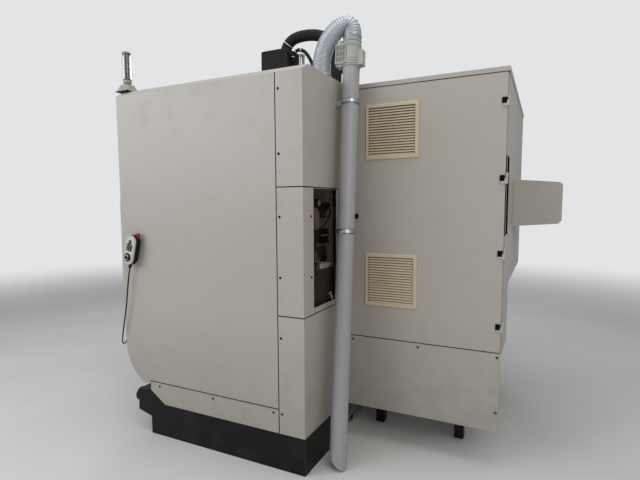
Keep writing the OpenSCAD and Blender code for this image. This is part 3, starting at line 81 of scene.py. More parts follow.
# The camera that a fit of the photograph's edges gave: where it stood, its yaw, pitch and roll, and in
# pixels its focal length, the size of the frame and the middle of the picture
CAMERA_PLACE = (3.362, 2.060, 1.582)
CAMERA_TURN = (26.409, 5.275, -0.318)
FOCAL_PIXELS = 460.197
PICTURE = (640.0, 480.0)
PICTURE_MIDDLE = (317.481, 246.279)
SENSOR_MM = 36.0


# Shapes, as whole arrays

BOX_FACES = np.array([[0, 3, 2, 1], [4, 5, 6, 7], [0, 1, 5, 4], [1, 2, 6, 5], [2, 3, 7, 6], [3, 0, 4, 7]])


def metres(points):
    """Millimetre points as an array in metres."""
    return np.asarray(points, float) / 1000.0


def spline(points, step):
    """A smooth curve through the points: on each span the cubic (2b + (c-a)t + (2a-5b+4c-d)t^2
    + (3b-a-3c+d)t^3) / 2 of its four neighbours, then points at even steps of length along it."""
    p = np.asarray(points, float)
    n = len(p)
    i = np.arange(n - 1)
    a, b = p[np.maximum(i - 1, 0)], p[i]
    c, d = p[i + 1], p[np.minimum(i + 2, n - 1)]
    t = np.linspace(0, 1, 24, endpoint=False)[None, :, None]
    a, b, c, d = (v[:, None, :] for v in (a, b, c, d))
    q = (2 * b + (c - a) * t + (2 * a - 5 * b + 4 * c - d) * t**2 + (3 * b - a - 3 * c + d) * t**3) / 2
    q = np.vstack([q.reshape(-1, 3), p[-1:]])
    return even(q, step)


def even(q, step):
    """The same line with its points moved to even steps of length along it."""
    s = lengths(q)
    m = max(int(round(s[-1] / step)), 2)
    at = np.linspace(0, s[-1], m + 1)
    return np.stack([np.interp(at, s, q[:, k]) for k in range(3)], axis=1)


def lengths(path):
    """How far along the path each of its points lies."""
    return np.concatenate([[0], np.cumsum(np.linalg.norm(np.diff(path, axis=0), axis=1))])


def frames(path, aside):
    """Along a path: the tangent by central differences, and two directions across it, the first one
    square to the direction aside."""
    t = np.gradient(path, axis=0)
    t /= np.linalg.norm(t, axis=1)[:, None]
    u = np.cross(t, np.asarray(aside, float))
    u /= np.linalg.norm(u, axis=1)[:, None]
    return t, u, np.cross(t, u)


def tube(path, radius, sides, aside):
    """A closed tube: point (i, k) lies radius(i, k) from path point i, at angle k round it.
    radius is a number, one value for each path point, or a grid. The ends are fans to the middle."""
    path = np.asarray(path, float)
    _, u, v = frames(path, aside)
    k = np.arange(sides) * 2 * math.pi / sides
    r = np.broadcast_to(np.asarray(radius, float).reshape((-1, 1)) if np.ndim(radius) < 2 else radius,
                        (len(path), sides))
    circle = np.cos(k)[None, :, None] * u[:, None, :] + np.sin(k)[None, :, None] * v[:, None, :]
    return capped(path[:, None, :] + r[:, :, None] * circle)


def looped(points):
    """Faces of a grid of rings that is closed both ways, as a band or a hollow wall is."""
    m, n = points.shape[:2]
    i, k = np.meshgrid(np.arange(m), np.arange(n), indexing="ij")
    j = (k + 1) % n
    h = (i + 1) % m
    quads = np.stack([i * n + k, i * n + j, h * n + j, h * n + k], axis=-1).reshape(-1, 4)
    return points.reshape(-1, 3), [quads]


def capped(points):
    """Faces of a grid of rings, closed round, with a fan to the middle point at both ends."""
    m, n = points.shape[:2]
    verts, (quads,) = looped(points)
    k = np.arange(n)
    j = (k + 1) % n
    first = np.stack([j, k, np.full(n, m * n)], axis=1)
    last = np.stack([(m - 1) * n + k, (m - 1) * n + j, np.full(n, m * n + 1)], axis=1)
    return np.vstack([verts, points[:1].mean(1), points[-1:].mean(1)]), [quads[:(m - 1) * n], first, last]


def swing(profile, sides, base, axis, scallops=0, depth=0.0):
    """Rows (radius, height) swung round the axis through base. A third value of 1 makes a row
    six-sided: radius r cos 30 / cos(a - 30), a past the last corner. scallops waves of the given
    depth run round the other rows, as on a grip."""
    prof = np.asarray([(*row, 0.0)[:3] for row in profile], float)
    ax = np.asarray(axis, float) / np.linalg.norm(axis)
    u = np.cross((0, 0, 1) if abs(ax[2]) < 0.9 else (1, 0, 0), ax)
    u /= np.linalg.norm(u)
    v = np.cross(ax, u)
    k = np.arange(sides) * 2 * math.pi / sides
    six = math.cos(math.pi / 6) / np.cos(k % (math.pi / 3) - math.pi / 6)
    wave = 1 - depth * (0.5 - 0.5 * np.cos(scallops * k))
    r = prof[:, :1] * np.where(prof[:, 2:] > 0, six[None], wave[None])
    circle = np.cos(k)[:, None] * u + np.sin(k)[:, None] * v
    return np.asarray(base, float) + r[:, :, None] * circle[None] + (prof[:, 1][:, None] * ax)[:, None, :]


def lathe(profile, sides, base=(0, 0, 0), axis=(0, 0, 1), scallops=0, depth=0.0):
    """A turned form, closed at both ends: the profile goes up its outside."""
    return capped(swing(profile, sides, base, axis, scallops, depth))


def ring(profile, sides, base=(0, 0, 0), axis=(0, 0, 1)):
    """A turned band: the profile is a closed loop, up its outside and down its inside."""
    return looped(swing(profile, sides, base, axis))


def outline(w, h, r, per=5):
    """A rectangle w by h with corners of radius r, anticlockwise, per + 1 points to a corner."""
    a = np.linspace(0, math.pi / 2, per + 1)
    arc = np.stack([np.cos(a), np.sin(a)], axis=1) * r
    turns = [(1, 1, 0), (-1, 1, 1), (-1, -1, 2), (1, -1, 3)]
    parts = []
    for sx, sy, q in turns:
        c, s = math.cos(q * math.pi / 2), math.sin(q * math.pi / 2)
        rot = np.array([[c, s], [-s, c]])
        parts.append(arc @ rot + [sx * (w / 2 - r), sy * (h / 2 - r)])
    return np.vstack(parts)


def slab(w, h, levels, r, place, per=5):
    """A moulded plate: the rounded rectangle w by h carried through levels of (height, inset), and
    set in the row frame by place = (origin, right, up). Its face looks along right x up."""
    origin, right, up = (np.asarray(a, float) for a in place)
    out = np.cross(right, up)
    rings = [outline(w - 2 * d, h - 2 * d, max(r - d, 0.0003), per) for _, d in levels]
    flat = np.stack(rings)
    z = np.asarray([lv for lv, _ in levels], float)[:, None, None]
    points = origin + flat[..., :1] * right + flat[..., 1:2] * up + z * out
    return capped(points)


def joined(parts):
    """Several shapes as one: their points one after the other, their faces counted on."""
    verts, faces, base = [], [], 0
    for v, fs in parts:
        verts.append(v)
        faces += [f + base for f in fs]
        base += len(v)
    return np.vstack(verts), faces


def repeated(part, places):
    """The same shape moved to each place."""
    v, fs = part
    n = len(v)
    at = np.asarray(places, float)
    verts = (at[:, None, :] + v[None]).reshape(-1, 3)
    step = (np.arange(len(at)) * n)[:, None, None]
    return verts, [(f[None] + step).reshape(-1, f.shape[1]) for f in fs]


def placed(part, origin, right, up):
    """A shape turned from its own frame (right, up, out) and moved to its place in the row frame."""
    v, fs = part
    right, up = np.asarray(right, float), np.asarray(up, float)
    turn = np.stack([right, up, np.cross(right, up)])
    return np.asarray(origin, float) + v @ turn, fs


FLAT = ((0, 0, 0), (1, 0, 0), (0, 1, 0))


def plate(w, h, thick, r, at=(0, 0, 0), edge=0.0006, per=5):
    """A flat plate w by h with rounded corners and a broken edge, at stands for its middle, facing +Z."""
    levels = [(0, 0), (thick - edge, 0), (thick, edge)]
    v, fs = slab(w, h, levels, r, FLAT, per)
    return v + np.asarray(at, float), fs


def piece(name, shape, coat, body, smooth=True, replaces=(), crease=None):
    """Puts a shape into a mesh, gives it the finish named coat and its slot, and makes it ride on its
    body in place of the nodes that it replaces. Edges sharper than the crease angle stay sharp."""
    verts, faces = shape
    mesh = bpy.data.meshes.new(name)
    sizes = np.concatenate([np.full(len(f), f.shape[1]) for f in faces])
    loops = np.concatenate([f.reshape(-1) for f in faces]).astype(np.int32)
    mesh.vertices.add(len(verts))
    mesh.vertices.foreach_set("co", np.asarray(verts, np.float32).reshape(-1))
    mesh.loops.add(len(loops))
    mesh.loops.foreach_set("vertex_index", loops)
    mesh.polygons.add(len(sizes))
    mesh.polygons.foreach_set("loop_start", np.concatenate([[0], np.cumsum(sizes)[:-1]]).astype(np.int32))
    mesh.polygons.foreach_set("use_smooth", np.full(len(sizes), smooth))
    mesh.update(calc_edges=True)
    if mesh.validate():
        raise RuntimeError(name + " has faces that do not fit together")
    obj = bpy.data.objects.new(name, mesh)
    bpy.context.scene.collection.objects.link(obj)
    mesh.materials.append(finish(coat))
    if crease is not None and smooth:
        mesh.set_sharp_from_angle(angle=math.radians(crease))
    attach(obj, body)
    if replaces:
        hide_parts(*replaces)
    return obj


# Finishes

def srgb(code):
    """A hex sRGB colour as the linear colour that a shader takes."""
    c = np.array([int(code[i:i + 2], 16) for i in (1, 3, 5)]) / 255.0
    lin = np.where(c <= 0.04045, c / 12.92, ((c + 0.055) / 1.055) ** 2.4)
    return (*lin.tolist(), 1.0)


def shade(colour, factor, lift=0.0):
    """A linear colour made darker or lighter by a factor and a lift."""
    return (*(min(c * factor + lift, 1.0) for c in colour[:3]), 1.0)


def feed(nt, socket, value):
    """Gives a socket a link or a constant."""
    if isinstance(value, bpy.types.NodeSocket):
        nt.links.new(value, socket)
    else:
        socket.default_value = value


def add(nt, kind, sockets=None, **settings):
    """Adds one shader node: settings are its options, and each socket gets a value or a link."""
    n = nt.nodes.new(kind)
    for key, value in settings.items():
        setattr(n, key, value)
    for key, value in (sockets or {}).items():
        feed(nt, n.inputs[key], value)
    return n


def material(name):
    """A new material with its surface shader, and the place on the object as its coordinates."""
    m = bpy.data.materials.new(name)
    m.use_nodes = True
    nt = m.node_tree
    nt.nodes.clear()
    out = add(nt, "ShaderNodeOutputMaterial")
    shader = add(nt, "ShaderNodeBsdfPrincipled")
    nt.links.new(shader.outputs["BSDF"], out.inputs["Surface"])
    where = add(nt, "ShaderNodeTexCoord").outputs["Object"]
    return m, nt, shader, where


def surface(nt, shader, sockets, relief=None, normal=None):
    """Feeds a finish to its shader. relief is (pattern, strength, depth in mm), and it stands on the
    other normal where one is given."""
    if relief:
        pattern, strength, depth_mm = relief
        raised = {"Height": pattern, "Strength": strength, "Distance": depth_mm / 1000.0}
        if normal is not None:
            raised["Normal"] = normal
        sockets["Normal"] = add(nt, "ShaderNodeBump", raised).outputs[0]
    for key, value in sockets.items():
        feed(nt, shader.inputs[key], value)


def spots(nt, where, size_mm, detail=3.0, stretch=(1, 1, 1), low=0.35, high=0.65, rough=0.5):
    """Cloudy spots about size_mm across, from 0 to 1 between two levels of the noise."""
    at = add(nt, "ShaderNodeMapping", {"Vector": where, "Scale": stretch}).outputs[0]
    n = add(nt, "ShaderNodeTexNoise",
            {"Vector": at, "Scale": 1000.0 / size_mm, "Detail": detail, "Roughness": rough}).outputs["Fac"]
    return add(nt, "ShaderNodeMapRange", {"Value": n, "From Min": low, "From Max": high}).outputs[0]


def laid(nt, tone, mask, share, over):
    """Another colour laid over the tone: it covers the given share of it where the mask is 1."""
    part = add(nt, "ShaderNodeMath", {0: mask, 1: share}, operation="MULTIPLY").outputs[0]
    return add(nt, "ShaderNodeMix", {0: part, 6: tone, 7: over}, data_type="RGBA").outputs[2]


def inside(nt, where, low, high):
    """1 inside the box between two corners, 0 outside: the largest of |p - middle| / half is under 1."""
    low, high = np.asarray(low, float), np.asarray(high, float)
    middle = tuple((low + high) / 2)
    d = add(nt, "ShaderNodeVectorMath", {0: where, 1: middle}, operation="SUBTRACT").outputs[0]
    d = add(nt, "ShaderNodeVectorMath", {0: d, 1: tuple((high - low) / 2)}, operation="DIVIDE").outputs[0]
    d = add(nt, "ShaderNodeVectorMath", {0: d}, operation="ABSOLUTE").outputs[0]
    x, y, z = add(nt, "ShaderNodeSeparateXYZ", {0: d}).outputs
    far = add(nt, "ShaderNodeMath", {0: x, 1: y}, operation="MAXIMUM").outputs[0]
    far = add(nt, "ShaderNodeMath", {0: far, 1: z}, operation="MAXIMUM").outputs[0]
    return add(nt, "ShaderNodeMath", {0: far, 1: 1.0}, operation="LESS_THAN").outputs[0]


def soft_edges(nt, radius_mm):
    """The normal that rounds sharp edges by radius_mm, and a mask of where it does so."""
    soft = add(nt, "ShaderNodeBevel", {"Radius": radius_mm / 1000.0}, samples=4).outputs[0]
    flat = add(nt, "ShaderNodeNewGeometry").outputs["Normal"]
    dot = add(nt, "ShaderNodeVectorMath", {0: soft, 1: flat}, operation="DOT_PRODUCT").outputs["Value"]
    bend = add(nt, "ShaderNodeMath", {0: 1.0, 1: dot}, operation="SUBTRACT").outputs[0]
    return soft, add(nt, "ShaderNodeMath", {0: bend, 1: 6.0}, operation="MULTIPLY", use_clamp=True).outputs[0]


def powder_coat(name, code, zones=(), floor_dirt_and_shade=0.30, gloss=0.42, shine=0.5):
    """Powder-coated sheet steel, sprayed and baked: a fine orange peel, a slow cloud of tone, hand smudges,
    darkening towards the floor that is partly dirt in spots and partly painted shade of the light falling off
    there, a few scuffs, and edges rubbed paler. zones are boxes on the same node that are another finish:
    (low corner, high corner, colour, roughness)."""
    m, nt, shader, where = material(name)
    soft, edge = soft_edges(nt, 1.6)
    base = srgb(code)
    smudge = spots(nt, where, 130, 4, low=0.52, high=0.78)
    height = add(nt, "ShaderNodeSeparateXYZ", {0: where}).outputs[2]
    foot = add(nt, "ShaderNodeMapRange", {"Value": height, "From Min": 0.9, "From Max": 0.1}).outputs[0]
    dusty = spots(nt, where, 90, 5, low=0.3, high=0.8)
    dirt_and_floor_shade = add(nt, "ShaderNodeMath", {0: foot, 1: dusty}, operation="MULTIPLY").outputs[0]
    tone = laid(nt, base, spots(nt, where, 700, 2, low=0.3, high=0.7), 0.22, shade(base, 0.88))
    tone = laid(nt, tone, smudge, 0.07, srgb("#7d7264"))
    # Darker towards the floor: spots of dirt, and a smooth painted shade for the light that falls off lower
    # down.
    tone = laid(nt, tone, dirt_and_floor_shade, floor_dirt_and_shade, srgb("#6f675a"))
    tone = laid(nt, tone, foot, floor_dirt_and_shade * 0.65, srgb("#57544a"))
    tone = laid(nt, tone, spots(nt, where, 9, 6, low=0.70, high=0.74), 0.14, srgb("#5d564b"))
    tone = laid(nt, tone, edge, 0.18, srgb("#e4ddd0"))
    worn = {"Value": smudge, "To Min": gloss, "To Max": gloss + 0.12}
    rough = add(nt, "ShaderNodeMapRange", worn).outputs[0]
    for low, high, zone_code, zone_rough in zones:
        mask = inside(nt, where, low, high)
        tone = laid(nt, tone, mask, 1.0, srgb(zone_code))
        rough = add(nt, "ShaderNodeMix", {0: mask, 2: rough, 3: zone_rough}).outputs[0]
    peel = spots(nt, where, 2.2, 2, low=0.2, high=0.8)
    surface(nt, shader, {"Base Color": tone, "Roughness": rough, "IOR": 1.5, "Specular IOR Level": shine},
            (peel, 0.10, 0.2), soft)
    return m


def cast_paint(name, code):
    """Enamel brushed over a sand casting: a pitted, lumpy ground under thick satin paint."""
    m, nt, shader, where = material(name)
    soft, edge = soft_edges(nt, 3.0)
    base = srgb(code)
    oil = spots(nt, where, 160, 4, low=0.4, high=0.8)
    tone = laid(nt, base, oil, 0.45, shade(base, 0.55))
    tone = laid(nt, tone, edge, 0.25, srgb("#9aa39d"))
    rough = add(nt, "ShaderNodeMapRange", {"Value": oil, "To Min": 0.5, "To Max": 0.3}).outputs[0]
    sand = spots(nt, where, 5.0, 4, low=0.25, high=0.75)
    surface(nt, shader, {"Base Color": tone, "Roughness": rough}, (sand, 0.35, 0.6), soft)
    return m


def ground_steel(name, code="#b9bbbd", grain=(0.02, 1.0, 1.0), rough=0.28, zones=()):
    """Steel ground on a surface grinder: fine parallel lines one way, a thin oily sheen. zones are
    boxes of another colour: (low corner, high corner, colour)."""
    m, nt, shader, where = material(name)
    soft, _ = soft_edges(nt, 0.8)
    lines = spots(nt, where, 1.6, 3, grain, 0.3, 0.7)
    tone = laid(nt, srgb(code), lines, 0.25, srgb("#8c8e90"))
    tone = laid(nt, tone, spots(nt, where, 70, 4, low=0.45, high=0.8), 0.25, srgb("#7d7263"))
    for low, high, zone_code in zones:
        tone = laid(nt, tone, inside(nt, where, low, high), 1.0, srgb(zone_code))
    worn = add(nt, "ShaderNodeMapRange", {"Value": lines, "To Min": rough, "To Max": rough + 0.14}).outputs[0]
    surface(nt, shader, {"Base Color": tone, "Roughness": worn, "Metallic": 1.0}, (lines, 0.15, 0.1), soft)
    return m


def moulded(name, code, rough=0.5, grain_mm=1.2, relief=0.2, dirt=0.2, zones=(), hollow_shade_mm=0, shine=0.5):
    """Moulded thermoplastic: an even colour with the fine leather grain of a textured mould, paler where
    hands have rubbed its edges, with a film of dirt, and painted shade laid dark into hollows up to
    hollow_shade_mm wide. zones are boxes of another colour: (low corner, high corner, colour)."""
    m, nt, shader, where = material(name)
    soft, edge = soft_edges(nt, 1.0)
    base = srgb(code)
    film = spots(nt, where, 45, 4, low=0.35, high=0.8)
    tone = laid(nt, base, film, dirt, srgb("#77726a"))
    tone = laid(nt, tone, edge, 0.20, shade(base, 1.6, 0.02))
    for low, high, zone_code in zones:
        tone = laid(nt, tone, inside(nt, where, low, high), 1.0, srgb(zone_code))
    # Painted shade: ambient occlusion lays a dark brown into hollows, such as between the slats of the vent
    # grilles.
    if hollow_shade_mm:
        air = add(nt, "ShaderNodeAmbientOcclusion", {"Distance": hollow_shade_mm / 1000.0}, samples=8).outputs["AO"]
        hollow_shade = add(nt, "ShaderNodeMapRange", {"Value": air, "From Min": 0.80, "From Max": 0.38}).outputs[0]
        tone = laid(nt, tone, hollow_shade, 1.0, srgb("#2b231b"))
    worn = {"Value": film, "To Min": rough, "To Max": min(rough + 0.18, 1)}
    grain = spots(nt, where, grain_mm, 2, low=0.3, high=0.7)
    surface(nt, shader, {"Base Color": tone, "Roughness": add(nt, "ShaderNodeMapRange", worn).outputs[0],
                         "IOR": 1.46, "Specular IOR Level": shine}, (grain, relief, 0.15), soft)
    return m


def clear_plastic(name, code, rough=0.08):
    """Clear acrylic, cast and polished: see-through with a faint haze of wiping marks."""
    m, nt, shader, where = material(name)
    haze = spots(nt, where, 30, 5, (1, 1, 0.2), 0.4, 0.8)
    worn = add(nt, "ShaderNodeMapRange", {"Value": haze, "To Min": rough, "To Max": rough + 0.12}).outputs[0]
    surface(nt, shader, {"Base Color": laid(nt, srgb(code), haze, 0.4, srgb("#dfe3e2")), "Roughness": worn,
                         "Transmission Weight": 0.97, "IOR": 1.49, "Specular IOR Level": 0.3})
    return m


def foil_duct(name):
    """Ducting of aluminium-coated polyester film wound on a wire: silvery and a little milky, creased
    between the turns."""
    m, nt, shader, where = material(name)
    crease = spots(nt, where, 9, 5, low=0.3, high=0.7, rough=0.7)
    cloud = spots(nt, where, 60, 3, low=0.35, high=0.75)
    tone = laid(nt, srgb("#b9bec4"), cloud, 0.5, srgb("#999fa7"))
    rough = add(nt, "ShaderNodeMapRange", {"Value": crease, "To Min": 0.26, "To Max": 0.5}).outputs[0]
    surface(nt, shader, {"Base Color": tone, "Roughness": rough, "Metallic": 0.45}, (crease, 0.5, 1.2))
    return m


def screen_glass(name):
    """A display that is switched off: dark glass over a dim panel, with finger marks."""
    m, nt, shader, where = material(name)
    smear = spots(nt, where, 24, 5, (1, 1, 0.5), 0.5, 0.8)
    tone = laid(nt, srgb("#11161c"), smear, 1.0, srgb("#262d33"))
    rough = add(nt, "ShaderNodeMapRange", {"Value": smear, "To Min": 0.06, "To Max": 0.3}).outputs[0]
    surface(nt, shader, {"Base Color": tone, "Roughness": rough, "Coat Weight": 0.6})
    return m


FINISH = {}


def finish(key):
    """The finish of that name, made once."""
    if key not in FINISH:
        FINISH[key] = FINISHES[key]()
    return FINISH[key]


def chosen(key):
    """A colour that the user can change in the sidebar."""
    return getattr(bpy.context.scene.machining_colours, key)


def paint(name, zones=()):
    """The cover paint, with the given boxes in another finish."""
    return powder_coat(name, chosen("cover_paint"), zones)


EVEN = (1, 1, 1)
ALONG_Z = (1.0, 1.0, 0.02)

# Boxes, as (low corner, high corner, colour) with a roughness on the painted sheets, where a solid
# has a second finish
# The slot zone is painted shade: the walls of the cabinet's rear slot in black.
SLOT_SHADE_ZONE = ((0.33, 1.835, 1.39), (0.53, 1.8518, 1.853), "#0a0a0a", 0.7)
WINDOW_FRAME_ZONE = ((-0.8, -0.62, 1.1), (0.6, -0.5522, 1.6), "#1b1b1d", 0.4)
OIL_LEVEL_ZONE = ((0.6, 0.6, 0.94), (1.0, 0.9, 0.9512), "#b9b2a2")
WALL_ZONE = ((0.6, 0.655, 0.9), (1.12, 0.6702, 1.8), "#7d6f62")
BOWL_ZONE = ((0.6, 0.6703, 1.2), (1.0, 0.79, 1.40), "#222224")
PANEL_FOOT_ZONE = ((0.5, -0.70, 1.0), (1.1, -0.5, 1.018), "#1a1a1c")
PENDANT_FACE_ZONE = ((1.1722, -0.6, 1.1), (1.1846, -0.3, 1.45), "#c3c1bb")

FINISHES = {
    "cream": lambda: paint("cream_powder_coat"),
    "door": lambda: paint("cream_powder_coat_door"),
    "shell": lambda: paint("cream_powder_coat_cabinet", [SLOT_SHADE_ZONE]),
    "hinge": lambda: paint("cream_powder_coat_hinges"),
    "sliding": lambda: paint("cream_powder_coat_doors", [WINDOW_FRAME_ZONE]),
    "inner": lambda: powder_coat("grey_powder_coat_guard", "#b9b7b0", (), 0.5, 0.38),
    "wall": lambda: powder_coat("beige_backing_plate", "#b3a191", (), 0.1, 0.6),
    "tank": lambda: powder_coat("black_enamelled_steel", "#070708", (), 0.02, 0.5, 0.22),
    "casting": lambda: cast_paint("enamelled_cast_iron", chosen("casting_paint")),
    "steel": lambda: ground_steel("ground_steel"),
    "upright_steel": lambda: ground_steel("turned_steel", "#b4b6b8", ALONG_Z, 0.25),
    "dark_steel": lambda: ground_steel("blued_steel_plate", "#6a6d70", (0.05, 1, 1), 0.42),
    "zinc": lambda: ground_steel("zinc_plated_steel", "#b7c1c7", EVEN, 0.3),
    "brass": lambda: ground_steel("nickel_plated_brass", "#c2ab7c", EVEN, 0.28),
    "aluminium": lambda: ground_steel("die_cast_aluminium", "#a9abad", EVEN, 0.4, [WALL_ZONE, BOWL_ZONE]),
    "shelf": lambda: moulded("smoked_polythene_tank", "#1a1311", 0.35, 3, 0.1, 0.15, [OIL_LEVEL_ZONE],
                             shine=0.3),
    "grey_abs": lambda: moulded("light_grey_abs", "#a19d94", 0.45),
    "fan_abs": lambda: moulded("aged_grey_polypropylene", chosen("fan_plastic"), 0.5, 1.5, 0.15, 0.25),
    # Dark grey standing in for the shade in the fan's groove, seams and recesses.
    "fan_shade": lambda: moulded("dark_grey_groove_shade", "#7b7c75", 0.6, 1.5, 0.15, 0.15, shine=0.3),
    "panel_abs": lambda: moulded("pale_grey_panel_abs", "#bcb9b1", 0.45, 1.0, 0.2, 0.1, [PANEL_FOOT_ZONE]),
    "black_abs": lambda: moulded("black_abs", "#0d0d0f", 0.5, 1.2, 0.25, 0.06, shine=0.3),
    "cover_abs": lambda: moulded("black_glass_filled_nylon", "#0e0d11", 0.6, 2.0, 0.25, 0.07, shine=0.25),
    "pendant": lambda: moulded("black_pendant_abs", "#0c0c0e", 0.55, 1.2, 0.25, 0.06, [PENDANT_FACE_ZONE],
                               shine=0.25),
    "dark_abs": lambda: moulded("black_valve_polymer", "#191716", 0.45, 1.0, 0.15, 0.22),
    "brown_abs": lambda: moulded("brown_lamp_core", "#241811", 0.8, 1.0, 0.1, 0.05, shine=0.15),
    "lamp_rows": lambda: moulded("amber_lamp_rows", "#7a6a55", 0.4, 0.6, 0.05, 0.05),
    "red_abs": lambda: moulded("red_abs", "#8c1d1f", 0.38, 3.0, 0.05, 0.06),
    "yellow_abs": lambda: moulded("yellow_switch_plate", "#cfae22", 0.4, 1.0, 0.1, 0.08),
    "white_abs": lambda: moulded("white_printed_abs", "#d9d8d3", 0.4, 1.0, 0.1, 0.08),
    "beige_abs": lambda: moulded("beige_grille_abs", chosen("grille_plastic"), 0.5, 1.0, 0.15, 0.12,
                                 hollow_shade_mm=16),
    "upvc": lambda: moulded("light_grey_upvc_pipe", chosen("pipe_plastic"), 0.36, 6.0, 0.05, 0.10),
    "rubber": lambda: moulded("black_pvc_sheath", "#0b0b0d", 0.6, 0.8, 0.1, 0.06, shine=0.3),
    "conduit": lambda: moulded("black_polyurethane_conduit", "#0f0f13", 0.62, 1.0, 0.15, 0.06, shine=0.3),
    # Black foam in the cover seams, which also stands in for the shade in them.
    "foam": lambda: moulded("black_foam_and_seam_shade", "#0d0a08", 0.9, 1.5, 0.5, 0.08, shine=0.1),
    # Painted shade: a black without sheen for the inside of the cabinet's rear slot.
    "gap": lambda: moulded("black_painted_slot_shade", "#050505", 0.9, 1.5, 0.1, 0.0, shine=0.0),
    "screw": lambda: moulded("black_oxide_screw", "#030304", 0.6, 1.0, 0.05, 0.0, shine=0.12),
    "clear": lambda: clear_plastic("clear_acrylic", "#f4f7f6", 0.02),
    "window": lambda: clear_plastic("tinted_polycarbonate", "#b9c6c4"),
    "screen": lambda: screen_glass("display_glass"),
    "foil": lambda: foil_duct("aluminised_film_duct"),
}

NODE_FINISH = {
    "bed_casting": "casting", "column": "casting", "saddle": "casting", "headstock": "casting",
    "magazine_bracket": "casting", "anchor_pads": "dark_steel", "base_tank": "tank",
    "side_panel_right": "cream", "side_panel_left": "cream", "lower_side_cover": "cream",
    "corner_cover_upper": "cream", "corner_cover_middle": "cream", "corner_cover_lower": "cream",
    "rear_cover_left": "cream", "roof_panel": "cream", "front_frame": "cream", "work_guard": "inner",
    "y_screw": "steel", "z_screw": "upright_steel", "x_screw": "steel", "z_motor": "black_abs",
    "table": "steel", "spindle": "upright_steel", "spindle_motor": "black_abs", "motor_cover": "cover_abs",
    "balance_cylinder": "upright_steel", "magazine_drum": "steel", "change_arm": "steel",
    "door_left": "sliding", "door_right": "sliding", "window_left": "window", "window_right": "window",
    "control_housing": "panel_abs", "control_screen": "screen", "control_estop": "red_abs",
    "feed_dial": "black_abs", "signal_base": "grey_abs", "signal_lens": "clear", "pendant_body": "pendant",
    "pendant_dial": "black_abs", "pendant_estop": "red_abs", "cabinet_shell": "shell",
    "cabinet_stand": "tank", "cabinet_door": "door", "vent_grilles": "beige_abs",
    "cabinet_lower_cover": "cream", "door_hinges": "hinge", "lock_ring": "black_abs",
    "drive_rack": "dark_steel", "rear_cooler": "cream", "air_unit": "aluminium", "lube_tank": "shelf",
    "extraction_pipe": "upvc", "pipe_clamps": "zinc", "fan_housing": "fan_abs", "fan_impeller": "black_abs",
}


# Sizes and colours that a user would change

class MachiningSizes(bpy.types.PropertyGroup):
    duct_pitch: bpy.props.FloatProperty(
        name="Duct pitch", description="Distance between two turns of the duct's wire",
        default=0.0135, unit="LENGTH")
    duct_rib: bpy.props.FloatProperty(
        name="Duct rib", description="Height of the turns above the film between them",
        default=0.0048, unit="LENGTH")
    conduit_pitch: bpy.props.FloatProperty(
        name="Conduit pitch", description="Distance between the rings of the cable conduit",
        default=0.011, unit="LENGTH")
    hose_pitch: bpy.props.FloatProperty(
        name="Hose segment", description="Length of a segment of the thin hose",
        default=0.019, unit="LENGTH")
    screw_head: bpy.props.FloatProperty(
        name="Screw head", description="Diameter of the button heads on the covers",
        default=0.0142, unit="LENGTH")


class MachiningColours(bpy.types.PropertyGroup):
    cover_paint: bpy.props.StringProperty(
        name="Cover paint", description="Powder coat of the covers, as an sRGB hex code", default="#b2ada5")
    casting_paint: bpy.props.StringProperty(
        name="Casting paint", description="Enamel on the castings, as an sRGB hex code", default="#6b756f")
    grille_plastic: bpy.props.StringProperty(
        name="Grille plastic", description="Moulded vent grilles, as an sRGB hex code", default="#cebfa5")
    pipe_plastic: bpy.props.StringProperty(
        name="Pipe plastic", description="Extraction pipe, as an sRGB hex code", default="#a3a2a4")
    fan_plastic: bpy.props.StringProperty(
        name="Fan plastic", description="Fan housing, as an sRGB hex code", default="#adb0aa")


class MachiningOperator:
    """What the operators share: where they are offered."""
    bl_options = {"REGISTER", "UNDO"}


class MACHINING_OT_stage(MachiningOperator, bpy.types.Operator):
    """Sets the floor, the lamps and the camera at the photograph's viewing angle"""
    bl_idname = "machining.stage"
    bl_label = "Stage, lamps and camera"

    def execute(self, context):
        floor_and_backdrop()
        lamps()
        camera()
        return {"FINISHED"}


def floor_and_backdrop():
    """A floor disc of 11 m that fades out towards its rim into the pale air behind it."""
    m, nt, shader, where = material("pale_studio_floor")
    tone = laid(nt, srgb("#d6d6d4"), spots(nt, where, 900, 3, low=0.3, high=0.7), 1.0, srgb("#d0d0ce"))
    surface(nt, shader, {"Base Color": tone, "Roughness": 0.8}, (spots(nt, where, 6, 3), 0.1, 0.3))
    far = add(nt, "ShaderNodeVectorMath", {0: where}, operation="LENGTH").outputs["Value"]
    fade = add(nt, "ShaderNodeMapRange", {"Value": far, "From Min": 4.5, "From Max": 10.5},
               interpolation_type="SMOOTHSTEP").outputs[0]
    clear = add(nt, "ShaderNodeBsdfTransparent").outputs[0]
    both = add(nt, "ShaderNodeMixShader", {0: fade, 1: shader.outputs["BSDF"], 2: clear}).outputs[0]
    out = next(n for n in nt.nodes if n.bl_idname == "ShaderNodeOutputMaterial")
    nt.links.new(both, out.inputs["Surface"])
    sides = 64
    radii = [0.01, 2.0, 4.0, 6.0, 8.0, 11.0]
    r, a = np.meshgrid(radii, np.arange(sides) * 2 * math.pi / sides, indexing="ij")
    verts, (quads,) = looped(np.stack([r * np.cos(a), r * np.sin(a), np.full(r.shape, -0.0005)], axis=-1))
    rings = quads[:(len(radii) - 1) * sides, ::-1]
    mesh = bpy.data.meshes.new("studio_floor")
    mesh.from_pydata(verts.tolist(), [], [list(range(sides))] + rings.tolist())
    obj = bpy.data.objects.new("studio_floor", mesh)
    bpy.context.scene.collection.objects.link(obj)
    mesh.materials.append(m)


